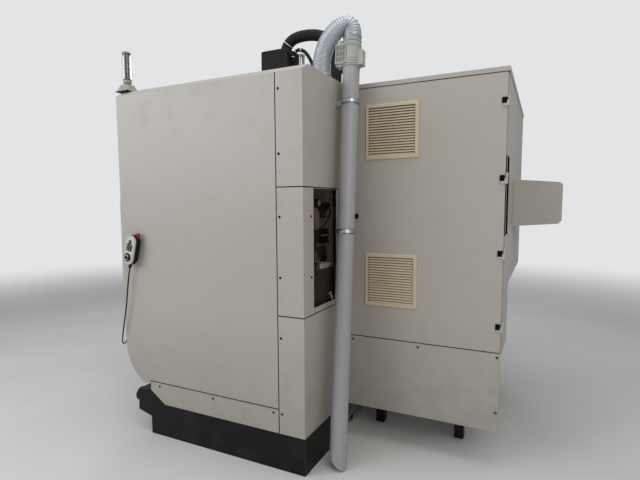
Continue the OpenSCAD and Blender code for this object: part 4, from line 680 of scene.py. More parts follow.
def lamp(name, place, target, size, watts, tint="#ffffff"):
    """A soft square lamp at a place, aimed at a target."""
    data = bpy.data.lights.new(name, "AREA")
    data.shape = "RECTANGLE"
    data.size, data.size_y = size
    data.energy = watts
    data.color = srgb(tint)[:3]
    obj = bpy.data.objects.new(name, data)
    bpy.context.scene.collection.objects.link(obj)
    obj.location = place
    obj.rotation_euler = (Vector(target) - Vector(place)).to_track_quat("-Z", "Y").to_euler()


def lamps():
    """Daylight from a wide window, a roof light, a softer fill from behind and a weak light on the far
    side. The air is pale where the camera, glass and polish see it, and lights the object less."""
    lamp("window_light", (4.4, -2.6, 3.2), (0.8, 0.2, 1.2), (3.4, 2.8), 112, "#f7faff")
    lamp("roof_light", (0.8, 1.2, 6.2), (0.2, 0.8, 1.0), (5.0, 4.0), 135, "#ffffff")
    lamp("fill_light", (3.9, 4.2, 3.3), (0.5, 1.2, 1.9), (2.2, 2.2), 60, "#fffaf3")
    lamp("far_light", (-4.4, -1.8, 3.0), (-0.6, 0.4, 1.2), (3.0, 2.4), 46, "#f7faff")
    world = bpy.data.worlds.new("studio_air")
    world.use_nodes = True
    nt = world.node_tree
    nt.nodes.clear()
    light = add(nt, "ShaderNodeBackground", {"Color": srgb("#eceef2"), "Strength": 0.34}).outputs[0]
    seen = add(nt, "ShaderNodeBackground", {"Color": srgb("#e3e4e5"), "Strength": 1.0}).outputs[0]
    path = add(nt, "ShaderNodeLightPath").outputs
    glossy = add(nt, "ShaderNodeMath", {0: path["Is Glossy Ray"], 1: 0.35}, operation="MULTIPLY").outputs[0]
    share = add(nt, "ShaderNodeMath", {0: path["Is Camera Ray"], 1: path["Is Transmission Ray"]},
                operation="MAXIMUM").outputs[0]
    share = add(nt, "ShaderNodeMath", {0: share, 1: glossy}, operation="MAXIMUM").outputs[0]
    both = add(nt, "ShaderNodeMixShader", {0: share, 1: light, 2: seen}).outputs[0]
    add(nt, "ShaderNodeOutputWorld", {"Surface": both})
    bpy.context.scene.world = world


def camera():
    """The fitted camera, turned by its three angles."""
    yaw, pitch, roll = (math.radians(a) for a in CAMERA_TURN)
    view = np.array([-math.cos(yaw) * math.cos(pitch), -math.sin(yaw) * math.cos(pitch), -math.sin(pitch)])
    right = np.cross(view, (0, 0, 1))
    right /= np.linalg.norm(right)
    up = np.cross(right, view)
    right, up = right * math.cos(roll) + up * math.sin(roll), up * math.cos(roll) - right * math.sin(roll)
    data = bpy.data.cameras.new("photo_camera")
    data.sensor_width = SENSOR_MM
    data.lens = SENSOR_MM * FOCAL_PIXELS / PICTURE[0]
    data.shift_x = (PICTURE[0] / 2 - PICTURE_MIDDLE[0]) / PICTURE[0]
    data.shift_y = (PICTURE_MIDDLE[1] - PICTURE[1] / 2) / PICTURE[0]
    data.clip_end = 60.0
    obj = bpy.data.objects.new("photo_camera", data)
    bpy.context.scene.collection.objects.link(obj)
    turn = np.eye(4)
    turn[:3, 0], turn[:3, 1], turn[:3, 2] = right, up, -view
    turn[:3, 3] = CAMERA_PLACE
    obj.matrix_world = Matrix(turn.tolist())
    bpy.context.scene.camera = obj
    bpy.context.scene.view_settings.view_transform = "Standard"


class MACHINING_OT_cable(MachiningOperator, bpy.types.Operator):
    """Makes the pendant cable from its strain relief down and round into the panel's gland"""
    bl_idname = "machining.cable"
    bl_label = "Pendant cable"

    def execute(self, context):
        path = spline(metres(CABLE_ROUTE), 0.008)
        cable = piece("pendant_cable", tube(path, 0.0045, 20, (1, 0.2, 0)), "rubber", "frame",
                      replaces=["pendant_cord"])
        return {"FINISHED"}


class MACHINING_OT_duct(MachiningOperator, bpy.types.Operator):
    """Makes the ribbed film duct from the roof over to the fan, wound on its wire"""
    bl_idname = "machining.duct"
    bl_label = "Ribbed duct"

    def execute(self, context):
        sizes = context.scene.machining_sizes
        path = duct_path(sizes.duct_pitch / 8)
        wall = film_duct(path, sizes.duct_pitch, sizes.duct_rib)
        piece("film_duct", wall, "foil", "frame", replaces=["flexible_duct"])
        piece("duct_bands", duct_bands(), "zinc", "frame", crease=40)
        return {"FINISHED"}


def duct_path(step):
    """Up off the roof spigot, over in one cubic bend, and down in line with the leaning fan collar."""
    a = DUCT_START + (0, 0, 0.03)
    end = PIPE_FOOT + PIPE_DIR * (PIPE_LENGTH + 0.180)
    d = end + PIPE_DIR * 0.03
    b = a + (0, -0.034, 0.240)
    c = d + PIPE_DIR * 0.150
    t = np.linspace(0, 1, 400)[:, None]
    s = 1 - t
    bend = a * s**3 + b * 3 * s**2 * t + c * 3 * s * t**2 + d * t**3
    return even(np.vstack([DUCT_START[None], bend, end[None]]), step)


def film_duct(path, pitch, rib):
    """Film between the turns of a wire: at length s and angle a the outside stands
    51.8 mm + rib * (0.5 + 0.5 cos(2 pi s / pitch - a))^1.6 from the middle, with small creases."""
    sides = 56
    _, u, v = frames(path, (0.9, 0.35, 0))
    s = lengths(path)[:, None]
    k = (np.arange(sides) * 2 * math.pi / sides)[None, :]
    turn = 0.5 + 0.5 * np.cos(2 * math.pi * s / pitch - k)
    crease = 0.0005 * np.sin(7 * k + 60 * s) * np.sin(11 * k - 95 * s + 1.3)
    r = 0.0518 + rib * turn**1.6 + crease * (1 - turn)
    circle = np.cos(k)[..., None] * u[:, None, :] + np.sin(k)[..., None] * v[:, None, :]
    outer = path[:, None, :] + r[..., None] * circle
    few = np.linspace(0, len(path) - 1, 120).astype(int)
    inner = path[few][:, None, :] + 0.0512 * circle[few]
    return looped(np.concatenate([outer, inner[::-1]]))


def duct_bands():
    """Two worm-drive bands round the duct's ends: a flat strip bent to a ring, with its screw housing."""
    parts = []
    band = [(0.0572, -0.0055), (0.0580, -0.0055), (0.0583, -0.004), (0.0583, 0.004), (0.0580, 0.0055),
            (0.0572, 0.0055)]
    for centre, along in ((DUCT_START + (0, 0, 0.016), np.array([0.0, 0, 1])),
                          (PIPE_FOOT + PIPE_DIR * (PIPE_LENGTH + 0.196), PIPE_DIR)):
        out = np.cross(along, (0, 1, 0))
        out /= np.linalg.norm(out)
        side = np.cross(along, out)
        parts += [ring(band, 64, centre, along),
                  slab(0.020, 0.012, [(0, 0.001), (0.001, 0), (0.008, 0), (0.0095, 0.002)], 0.003,
                       (centre + out * 0.056, side, along)),
                  lathe([(0.0042, 0), (0.0048, 0.001), (0.0048, 0.006), (0.004, 0.007)], 6,
                        centre + out * 0.061 + side * 0.010, side)]
    return joined(parts)


class MACHINING_OT_conduit(MachiningOperator, bpy.types.Operator):
    """Makes the wide corrugated cable conduit and the thin segmented hose beside it"""
    bl_idname = "machining.conduit"
    bl_label = "Conduit and hose"

    def execute(self, context):
        sizes = context.scene.machining_sizes
        path = spline(metres(CONDUIT_ROUTE), sizes.conduit_pitch / 6)
        s = lengths(path)
        wave = 0.5 + 0.5 * np.cos(2 * math.pi * s / sizes.conduit_pitch)
        skin = tube(path, 0.0417 + 0.0018 * wave**2, 40, (1, 0.2, 0))
        piece("ringed_conduit", skin, "conduit", "frame", replaces=["cable_conduit"])
        path = spline(metres(HOSE_ROUTE), sizes.hose_pitch / 10)
        s = lengths(path)
        part = (s / sizes.hose_pitch) % 1.0
        belly = 0.0016 * np.abs(np.sin(math.pi * part / 0.62)) * (part < 0.62)
        skin = tube(path, np.where(part < 0.62, 0.0148, 0.0118) - belly, 24, (1, 0.2, 0))
        piece("segmented_hose", skin, "rubber", "frame", replaces=["coolant_hose"])
        near = [int(np.argmin(np.abs(s - a))) for a in (0.010, 0.058, 0.110)]
        t = frames(path, (1, 0.2, 0))[0]
        ferrule = [(0.0145, -0.004), (0.0158, -0.003), (0.0158, 0.003), (0.0145, 0.004)]
        bands = [lathe(ferrule, 28, path[i], t[i]) for i in near]
        piece("hose_ferrules", joined(bands), "zinc", "frame", crease=30)
        bend = spline(metres(CONDUIT_ROUTE), 0.004)
        tie = ring([(0.0420, -0.0035), (0.0448, -0.0035), (0.0452, -0.0028), (0.0452, 0.0028),
                    (0.0448, 0.0035), (0.0420, 0.0035)], 48, bend[14], bend[15] - bend[13])
        piece("conduit_tie", tie, "white_abs", "frame", crease=40)
        cuff = lathe([(0.0475, 0.0), (0.0520, 0.002), (0.0520, 0.014), (0.0480, 0.018), (0.0465, 0.034),
                      (0.0440, 0.038)], 48, (0, 0.560, ROOF_Z))
        piece("conduit_foot", cuff, "black_abs", "frame", crease=30)
        return {"FINISHED"}


COVER_SCREWS = [(SIDE_X, y, z) for y, z in (
    (-0.261, 0.347), (0.197, 0.347), (0.649, 0.347), (0.707, 2.218), (0.707, 1.862), (0.707, 1.509),
    (0.707, 1.160), (0.707, 0.805), (0.707, 0.348))]
CABINET_SCREWS = [(DOOR_X, y, z) for y, z in ((0.927, 0.678), (1.364, 0.678), (1.832, 0.678), (1.832, 0.342))]
REAR_SCREWS = [(1.025, REAR_Y, 1.160), (1.025, REAR_Y, 1.510)]
HINGES_Z = (2.150, 1.7203, 1.2907, 0.861)
SLOT_MIDDLE = (0.4240, 1.8485, 1.6215)


def button_head(diameter, axis):
    """A button head: a low dome with a six-sided socket sunk into it, seen from outside."""
    r = diameter / 2
    dome = [(r, -0.0005), (r, 0.0018), (r * 0.93, 0.0030), (r * 0.72, 0.0041), (r * 0.50, 0.0046),
            (r * 0.44, 0.0045, 1), (r * 0.42, 0.0018, 1)]
    return lathe(dome, 24, (0, 0, 0), axis)


class MACHINING_OT_fasteners(MachiningOperator, bpy.types.Operator):
    """Sets the button heads that hold the covers, the hinge caps, and a black sheet of painted shade in the
    rear slot
    """
    bl_idname = "machining.fasteners"
    bl_label = "Screws, hinge caps and slot"

    def execute(self, context):
        head = context.scene.machining_sizes.screw_head
        side = repeated(button_head(head, (1, 0, 0)), COVER_SCREWS + CABINET_SCREWS)
        rear = repeated(button_head(head, (0, 1, 0)), REAR_SCREWS)
        piece("cover_screws", joined([side, rear]), "screw", "frame", crease=35)
        # Painted shade: a black sheet without sheen in the rear slot, where shade falls.
        slot = slab(0.143, 0.456, [(-0.004, 0), (0.0009, 0)], 0.010, (SLOT_MIDDLE, (-1, 0, 0), (0, 0, 1)), 3)
        piece("slot_shade_sheet", slot, "gap", "frame", crease=30)
        caps = [slab(0.026, 0.034, [(0, -0.0004), (0.0072, -0.0004), (0.0084, 0.0008)], 0.003,
                     ((DOOR_X, 1.8305, z), (0, 1, 0), (0, 0, 1)), 3) for z in HINGES_Z]
        piece("hinge_caps", joined(caps), "screw", "cabinet_door", crease=30)
        return {"FINISHED"}


def on_pendant(part):
    """A shape designed on the pendant's face, moved to the leaning pendant."""
    return placed(part, PENDANT, PENDANT_RIGHT, PENDANT_UP)


DIAL_AT = np.array([-0.002, -0.050, 0.0])
KEY_PAIRS = [(-0.012, 0.030, 0.0), (0.012, 0.030, 0.0), (-0.012, 0.006, 0.0), (0.012, 0.006, 0.0)]
PENDANT_KEYS = KEY_PAIRS + [(0.0, 0.058, 0.0)]


class MACHINING_OT_pendant(MachiningOperator, bpy.types.Operator):
    """Makes the pendant's key field, key rims, ticked handwheel, stop cap and ribbed strain relief"""
    bl_idname = "machining.pendant"
    bl_label = "Handwheel pendant"

    def execute(self, context):
        field = plate(0.0578, 0.1708, 0.0008, 0.0285, (0, 0, 0.0559), 0.0003, 14)
        piece("pendant_field", on_pendant(field), "white_abs", "frame", crease=30)
        caps = repeated(lathe([(0.0096, 0.0558), (0.0096, 0.0632), (0.0088, 0.0640)], 28), PENDANT_KEYS)
        along = np.linspace(0, 0.034, 18)
        radii = 0.0086 + 0.0050 * along / 0.034 + 0.0008 * (np.arange(18) % 2)
        relief = lathe(np.stack([radii, along - 0.1285], axis=1), 28, (0, 0, 0.026), (0, 1, 0))
        under = [plate(0.050, 0.054, 0.0007, 0.012, (0, 0.018, 0.0566), 0.0002),
                 plate(0.030, 0.030, 0.0007, 0.0148, (0, 0.058, 0.0566), 0.0002, 8)]
        keys = on_pendant(joined([caps, relief, *under]))
        piece("pendant_keys", keys, "black_abs", "frame", crease=30)
        rim = ring([(0.0104, 0.0572), (0.0118, 0.0572), (0.0118, 0.0580), (0.0104, 0.0580)], 28)
        mark = ring([(0.0044, 0.0639), (0.0054, 0.0639), (0.0054, 0.0643), (0.0044, 0.0643)], 24)
        bars = repeated(plate(0.0016, 0.0075, 0.0008, 0.0007, (0, 0, 0.0637), 0.0002, 2), KEY_PAIRS)
        collar = ring([(0.0293, 0.0574), (0.0356, 0.0574), (0.0352, 0.0590), (0.0340, 0.0596),
                       (0.0308, 0.0596), (0.0293, 0.0588)], 64, DIAL_AT)
        rims = on_pendant(joined([repeated(rim, PENDANT_KEYS), repeated(mark, PENDANT_KEYS), bars, collar]))
        piece("pendant_rims", rims, "white_abs", "frame", crease=30)
        grip = lathe([(0.0278, 0.0592), (0.0286, 0.0598), (0.0286, 0.0652), (0.0278, 0.0668),
                      (0.0205, 0.0670), (0.0202, 0.0666)], 144, DIAL_AT, scallops=36, depth=0.035)
        knob = lathe([(0.0054, 0.0712), (0.0064, 0.0730), (0.0068, 0.0780), (0.0062, 0.0808),
                      (0.0040, 0.0818)], 28, DIAL_AT + (0.014, 0, 0))
        wheel = on_pendant(joined([grip, knob]))
        piece("pendant_grip", wheel, "black_abs", "pendant_dial", crease=35)
        count = np.arange(50)
        long = np.where(count % 5 == 0, 0.0034, 0.0020)
        ticks = spokes(count * 2 * math.pi / 50, 0.0262 - long, long, 0.0006, 0.0669, 0.0003, DIAL_AT)
        arc = ring([(0.0150, 0.0666), (0.0188, 0.0666), (0.0186, 0.0718), (0.0150, 0.0718)], 48, DIAL_AT)
        marks = on_pendant(joined([ticks, arc]))
        piece("pendant_ticks", marks, "white_abs", "pendant_dial", crease=30)
        head = lathe([(0.0120, 0.0349), (0.0145, 0.0355), (0.0172, 0.0428), (0.0175, 0.0445),
                      (0.0172, 0.0460), (0.0140, 0.0505), (0.0080, 0.0522)], 40, (0.026, 0.0685, 0.024),
                     (0, 1, 0))
        piece("pendant_stop_cap", on_pendant(head), "red_abs", "pendant_estop", crease=40)
        return {"FINISHED"}


def spokes(angles, near, long, wide, base, thick, middle):
    """Flat bars on a dial: bar i lies along angle i, from radius near to near + long, wide across, and
    stands from base to base + thick above the middle."""
    angles = np.asarray(angles, float)
    near, long = np.broadcast_to(near, angles.shape), np.broadcast_to(long, angles.shape)
    out = np.stack([np.cos(angles), np.sin(angles), 0 * angles], axis=1)
    side = np.stack([-np.sin(angles), np.cos(angles), 0 * angles], axis=1)
    along = np.array([0, 1, 1, 0, 0, 1, 1, 0.0])
    aside = np.array([-1, -1, 1, 1, -1, -1, 1, 1]) * wide / 2
    high = np.array([0, 0, 0, 0, 1, 1, 1, 1.0]) * thick + base
    reach = near[:, None] + long[:, None] * along
    points = reach[..., None] * out[:, None] + aside[None, :, None] * side[:, None]
    points = points + high[None, :, None] * np.array([0, 0, 1.0]) + np.asarray(middle, float)
    quads = (np.arange(len(angles)) * 8)[:, None, None] + BOX_FACES
    return points.reshape(-1, 3), [quads.reshape(-1, 4)]


class MACHINING_OT_lamp(MachiningOperator, bpy.types.Operator):
    """Makes the signal lamp's core with its rows of small lamps, its seals and foot screws"""
    bl_idname = "machining.lamp"
    bl_label = "Signal lamp"

    def execute(self, context):
        core = lathe([(0.0150, 0.0842), (0.0160, 0.0852), (0.0160, 0.2548), (0.0150, 0.2558)], 32, LAMP)
        piece("lamp_core", core, "brown_abs", "frame", crease=35)
        heights = 0.096 + 0.0148 * np.arange(11)
        dots = []
        for angle in np.arange(8) * math.pi / 4 + 0.35:
            out = np.array([math.cos(angle), math.sin(angle), 0.0])
            dot = lathe([(0.0026, -0.0006), (0.0026, 0.0008), (0.0014, 0.0019)], 12, (0, 0, 0), out)
            dots.append(repeated(dot, LAMP + 0.016 * out + heights[:, None] * np.array([0, 0, 1.0])))
        piece("lamp_rows", joined(dots), "lamp_rows", "frame", crease=35)
        low = ring([(0.0262, 0.0838), (0.0288, 0.0838), (0.0288, 0.0868), (0.0281, 0.0876),
                    (0.0262, 0.0876)], 48, LAMP)
        high = ring([(0.0262, 0.2520), (0.0284, 0.2520), (0.0291, 0.2534), (0.0291, 0.2566),
                     (0.0262, 0.2566)], 48, LAMP)
        neck = ring([(0.0196, 0.0500), (0.0222, 0.0500), (0.0226, 0.0520), (0.0222, 0.0545),
                     (0.0196, 0.0545)], 40, LAMP)
        gasket = slab(0.119, 0.119, [(-0.0004, 0), (0.0020, 0)], 0.004, (LAMP, (1, 0, 0), (0, 1, 0)), 3)
        piece("lamp_seals", joined([low, high, neck, gasket]), "rubber", "frame", crease=40)
        corners = [LAMP + (sx * 0.0475, sy * 0.0475, 0.0039) for sx in (-1, 1) for sy in (-1, 1)]
        screws = repeated(button_head(0.008, (0, 0, 1)), corners)
        piece("lamp_screws", screws, "black_abs", "frame", crease=35)
        return {"FINISHED"}


FAN_X = np.array([0.0, 1.0, 0.0]) - PIPE_DIR * PIPE_DIR[1]
FAN_X /= np.linalg.norm(FAN_X)
FAN_Y = np.cross(PIPE_DIR, FAN_X)


def at_fan(x, y, z):
    """A place on the fan housing: x away from the front, y towards the left side, z up its axis."""
    return PIPE_FOOT + PIPE_DIR * (PIPE_LENGTH + 0.0003 + z) + FAN_X * x + FAN_Y * y


def on_fan(w, h, levels, r, x, y, z, per=5):
    """A moulded plate on the fan housing, its face towards the right side."""
    return slab(w, h, levels, r, (at_fan(x, y, z), FAN_X, PIPE_DIR), per)


LID_X, LID_Y, LID_Z = -0.051, -0.0566, 0.076
LID_CORNERS = [(LID_X + sx * 0.0285, LID_Z + sz * 0.054) for sx in (-1, 1) for sz in (-1, 1)]


class MACHINING_OT_fan(MachiningOperator, bpy.types.Operator):
    """Makes the fan's terminal lid with its screws and gland, the moulded ridges and the duct collar"""
    bl_idname = "machining.fan"
    bl_label = "Fan housing"

    def execute(self, context):
        lid = on_fan(0.074, 0.126, [(0.0068, 0), (0.0095, 0.0006), (0.0120, 0.0030), (0.0130, 0.0062)], 0.006,
                     LID_X, -0.044, LID_Z)
        base = on_fan(0.058, 0.126, [(-0.002, 0), (0.0072, 0)], 0.006, -0.059, -0.044, LID_Z)
        boss = [on_fan(0.013, 0.013, [(0, 0), (0.0028, 0), (0.0034, 0.0006)], 0.004, x, LID_Y, z)
                for x, z in LID_CORNERS]
        ridge = [(0.0560, -0.0028), (0.0588, -0.0022), (0.0596, 0.0), (0.0588, 0.0022), (0.0560, 0.0028)]
        ridges = [ring(ridge, 64, at_fan(0, 0, z), PIPE_DIR) for z in (0.006, 0.047, 0.120, 0.161)]
        neck = ring([(0.0495, 0.0), (0.0560, 0.0), (0.0545, 0.0035), (0.0515, 0.0060), (0.0495, 0.0060)], 64,
                    at_fan(0, 0, 0.1655), PIPE_DIR)
        housing = joined([lid, base, *boss, *ridges, neck])
        piece("fan_lid", housing, "fan_abs", "frame", crease=30)
        # Painted shade: a dark grey bar, two rings and nine panes stand for the shade in the lid's groove,
        # along the housing's seams and in the lid's recesses.
        edge = on_fan(0.0034, 0.136, [(0.008, 0), (0.0135, 0), (0.0142, 0.0006)], 0.001,
                      -0.0125, -0.0435, LID_Z, 2)
        seam = [(0.0568, -0.0012), (0.0578, -0.0012), (0.0578, 0.0012), (0.0568, 0.0012)]
        rims = [ring(seam, 64, at_fan(0, 0, z), PIPE_DIR) for z in (0.0135, 0.1525)]
        panes = [on_fan(0.0165, 0.0300, [(0, 0), (0.0014, 0), (0.0020, 0.0006)], 0.002,
                        LID_X + sx * 0.0205, LID_Y, LID_Z + sz * 0.0355, 3)
                 for sx in (-1, 0, 1) for sz in (-1, 0, 1)]
        piece("fan_groove_shade", joined([edge, *rims, *panes]), "fan_shade", "frame", crease=30)
        screw = lathe([(0.0030, 0), (0.0030, 0.0012), (0.0024, 0.0018), (0.0013, 0.0018),
                       (0.0012, 0.0008)], 18)
        screws = repeated(placed(screw, (0, 0, 0), FAN_X, PIPE_DIR),
                          [at_fan(x, -0.0600, z) for x, z in LID_CORNERS])
        piece("fan_lid_screws", screws, "zinc", "frame", crease=30)
        latch = on_fan(0.030, 0.020, [(0, 0), (0.0030, 0), (0.0040, 0.001)], 0.003, -0.066, -0.0162, 0.161)
        tongue = on_fan(0.016, 0.034, [(0, 0), (0.0024, 0), (0.0034, 0.001)], 0.004, -0.066, -0.0198, 0.156)
        piece("fan_latch", joined([latch, tongue]), "white_abs", "frame", crease=30)
        gland = lathe([(0.0110, -0.001), (0.0110, 0.005, 1), (0.0098, 0.0055, 1), (0.0086, 0.0060),
                       (0.0086, 0.0150), (0.0060, 0.0175)], 24, at_fan(-0.070, 0.020, 0.001), -PIPE_DIR)
        piece("fan_gland", gland, "black_abs", "frame", crease=30)
        return {"FINISHED"}


CLAMPS_Z = (2.199, 1.412)
EAR_OUT = 0.0685
EAR_HALF = 0.0069


class MACHINING_OT_clamps(MachiningOperator, bpy.types.Operator):
    """Makes the bolts of the pipe clamps and their rubber linings"""
    bl_idname = "machining.clamps"
    bl_label = "Pipe clamps"

    def execute(self, context):
        bolts, linings = [], []
        for z in CLAMPS_Z:
            c = PIPE_FOOT + (PIPE_TOP - PIPE_FOOT) * z / PIPE_TOP[2]
            ear = c + (EAR_OUT, 0, 0)
            front, back = ear + (0, EAR_HALF, 0), ear - (0, EAR_HALF, 0)
            bolts += [lathe([(0.0062, 0, 1), (0.0065, 0.0004, 1), (0.0065, 0.0040, 1), (0.0058, 0.0046)],
                            24, front, (0, 1, 0)),
                      lathe([(0.0032, -0.001), (0.0032, 0.0078), (0.0026, 0.0086)], 16, back, (0, -1, 0)),
                      lathe([(0.0062, 0, 1), (0.0062, 0.0046, 1), (0.0056, 0.0052)], 24, back, (0, -1, 0))]
            linings.append(ring([(0.0526, -0.0135), (0.0553, -0.0135), (0.0557, -0.0112), (0.0557, 0.0112),
                                 (0.0553, 0.0135), (0.0526, 0.0135)], 64, c, PIPE_DIR))
        piece("clamp_bolts", joined(bolts), "zinc", "frame", crease=30)
        piece("clamp_linings", joined(linings), "rubber", "frame", crease=40)
        return {"FINISHED"}


PLATE_Y = 0.670
VALVES_X = 0.506 + 0.030 * np.arange(5)
GAUGE = (0.592, 1.589)
AIR_LINE = [
    (492, 698, 1562), (474, 702, 1560), (462, 712, 1548), (468, 720, 1520), (492, 722, 1488),
    (528, 720, 1456), (560, 716, 1436), (590, 714, 1424), (612, 706, 1411),
]
TUBE_ENDS = [(560, 706, 1180), (575, 712, 1180), (590, 718, 1180), (606, 712, 1180), (620, 706, 1180)]


def on_wall(part, x, z):
    """A shape moved onto the air unit's plate, its face towards the rear."""
    return placed(part, (x, PLATE_Y, z), (-1, 0, 0), (0, 0, 1))


def block(w, h, out, x, z, r=0.002, base=0.0, edge=0.001):
    """A box with broken edges on the air unit's plate."""
    levels = [(base, 0), (base + out - edge, 0), (base + out, edge)]
    return on_wall(slab(w, h, levels, r, FLAT, 3), x, z)


def turned(profile, x, z, sides=28):
    """A turned form on the air unit's plate."""
    return on_wall(lathe(profile, sides), x, z)


class MACHINING_OT_service(MachiningOperator, bpy.types.Operator):
    """Makes what the service opening shows: the plate, gauge, regulator, valves, tubes and tank lid"""
    bl_idname = "machining.service"
    bl_label = "Air unit behind the opening"

    def execute(self, context):
        wall = on_wall(plate(0.3325, 0.793, 0.0036, 0.003, (0, 0, -0.0038)), 0.46675, 1.338)
        piece("air_unit_plate", wall, "wall", "frame", crease=30)
        dark = [block(0.027, 0.066, 0.046, x, 1.364, 0.002) for x in VALVES_X]
        dark += [block(0.022, 0.020, 0.018, x, 1.372, 0.003, 0.046) for x in VALVES_X]
        stud = [(0.0075, -0.001), (0.0075, 0.0035), (0.006, 0.0045)]
        dark += [block(0.158, 0.016, 0.056, 0.566, 1.322, 0.002),
                 block(0.158, 0.012, 0.050, 0.566, 1.404, 0.002),
                 turned([(0.026, 0.0), (0.026, 0.026), (0.0245, 0.030), (0.0225, 0.030), (0.0222, 0.0268)],
                        *GAUGE, 40),
                 turned([(0.006, -0.001), (0.006, 0.012)], GAUGE[0], 1.560, 16),
                 block(0.050, 0.060, 0.050, 0.528, 1.560, 0.006),
                 turned([(0.020, 0.049), (0.020, 0.066), (0.018, 0.070)], 0.528, 1.572, 32),
                 on_wall(lathe([(0.017, 0), (0.020, 0.004), (0.020, 0.058), (0.015, 0.066)], 32,
                               (0, 0.025, 0.025), (0, -1, 0)), 0.528, 1.527),
                 turned(stud, 0.370, 1.614, 20),
                 turned(stud, 0.401, 1.493, 20),
                 turned([(0.0055, -0.001), (0.0055, 0.0030), (0.0045, 0.0038)], 0.600, 1.270, 20)]
        piece("air_unit_parts", joined(dark), "dark_abs", "frame", crease=30)
        face = turned([(0.0221, 0.0262), (0.0221, 0.0272)], *GAUGE, 40)
        needle = block(0.0016, 0.017, 0.0008, GAUGE[0], 1.594, 0.0005, 0.0273, 0.0002)
        caps = [turned([(0.005, 0.0635), (0.005, 0.067), (0.004, 0.068)], x, 1.372, 16) for x in VALVES_X]
        piece("air_unit_faces", joined([face, *caps]), "white_abs", "frame", crease=30)
        piece("gauge_needle", needle, "black_abs", "frame", crease=30)
        push_in = lathe([(0.0060, 0, 1), (0.0060, 0.008, 1), (0.0050, 0.009), (0.0050, 0.016),
                         (0.0042, 0.017)], 24, (0, 0, 0.030), (0, -1, 0))
        elbow = lathe([(0.0065, 0, 1), (0.0065, 0.010, 1), (0.0055, 0.014)], 24, (0, 0, 0.028), (1, 0, 0))
        bits = [on_wall(push_in, x, 1.3145) for x in VALVES_X]
        bits += [on_wall(elbow, x, z) for x, z in ((0.503, 1.562), (0.4868, 1.322))]
        piece("air_fittings", joined(bits), "brass", "frame", crease=30)
        runs = [AIR_LINE]
        for x, end in zip(VALVES_X * 1000, TUBE_ENDS):
            runs.append([(x, 700, 1300), (x, 701, 1280), (x * 0.7 + end[0] * 0.3, 716, 1245),
                         (x * 0.3 + end[0] * 0.7, 726, 1212), end])
        pipes = [tube(spline(metres(r), 0.006), 0.0042, 14, (0.2, 1, 0.1)) for r in runs]
        piece("air_tubes", joined(pipes), "rubber", "frame")
        lid = slab(0.150, 0.112, [(0.0002, 0.003), (0.004, 0), (0.026, 0.001), (0.031, 0.005)], 0.010,
                   ((0.740, 0.764, 1.1750), (1, 0, 0), (0, 1, 0)))
        label = slab(0.060, 0.030, [(0, 0), (0.0012, 0), (0.002, 0.0008)], 0.004,
                     ((0.740, 0.8195, 1.190), (-1, 0, 0), (0, 0, 1)))
        piece("tank_lid", joined([lid, label]), "grey_abs", "frame", crease=30)
        pump = slab(0.040, 0.070, [(0.0002, 0.001), (0.002, 0), (0.046, 0.001), (0.050, 0.004)], 0.005,
                    ((0.862, 0.790, 1.1750), (1, 0, 0), (0, 1, 0)))
        piece("tank_pump", pump, "dark_abs", "frame", crease=30)
        elbows = []
        for x, z in ((0.735, 1.010), (0.716, 0.985)):
            elbows += [lathe([(0.0085, -0.001, 1), (0.0085, 0.008, 1), (0.0060, 0.009), (0.0060, 0.018)],
                             24, (x, 0.830, z), (0, 1, 0)),
                       lathe([(0.0062, -0.010), (0.0068, -0.009), (0.0068, 0.012), (0.0050, 0.014)],
                             20, (x, 0.846, z), (0, 0, 1))]
        piece("tank_elbows", joined(elbows), "zinc", "frame", crease=30)
        return {"FINISHED"}


def bar(low, high):
    """A plain box between two corners, as six quads."""
    (a, b, c), (d, e, f) = low, high
    v = np.array([[a, b, c], [d, b, c], [d, e, c], [a, e, c], [a, b, f], [d, b, f], [d, e, f], [a, e, f]])
    return v, [BOX_FACES]


def surround(outer, inner, foot, face, draft, middle):
    """A raised frame on an upright wall, round its middle (x, z): it stands along Y from its foot to its
    face, where the draft brings its two outlines closer together."""
    rows = [(outer, foot), (outer * draft[0], face), (inner * draft[1], face), (inner, foot)]
    x, z = middle
    return looped(np.stack([np.stack([p[:, 0] + x, np.full(len(p), y), p[:, 1] + z], axis=1)
                            for p, y in rows]))


COVER_SEAMS_Z = (0.937, 1.677)
WINDOWS_X = {"left": -0.3295, "right": 0.2295}
WINDOWS_Z = 1.45


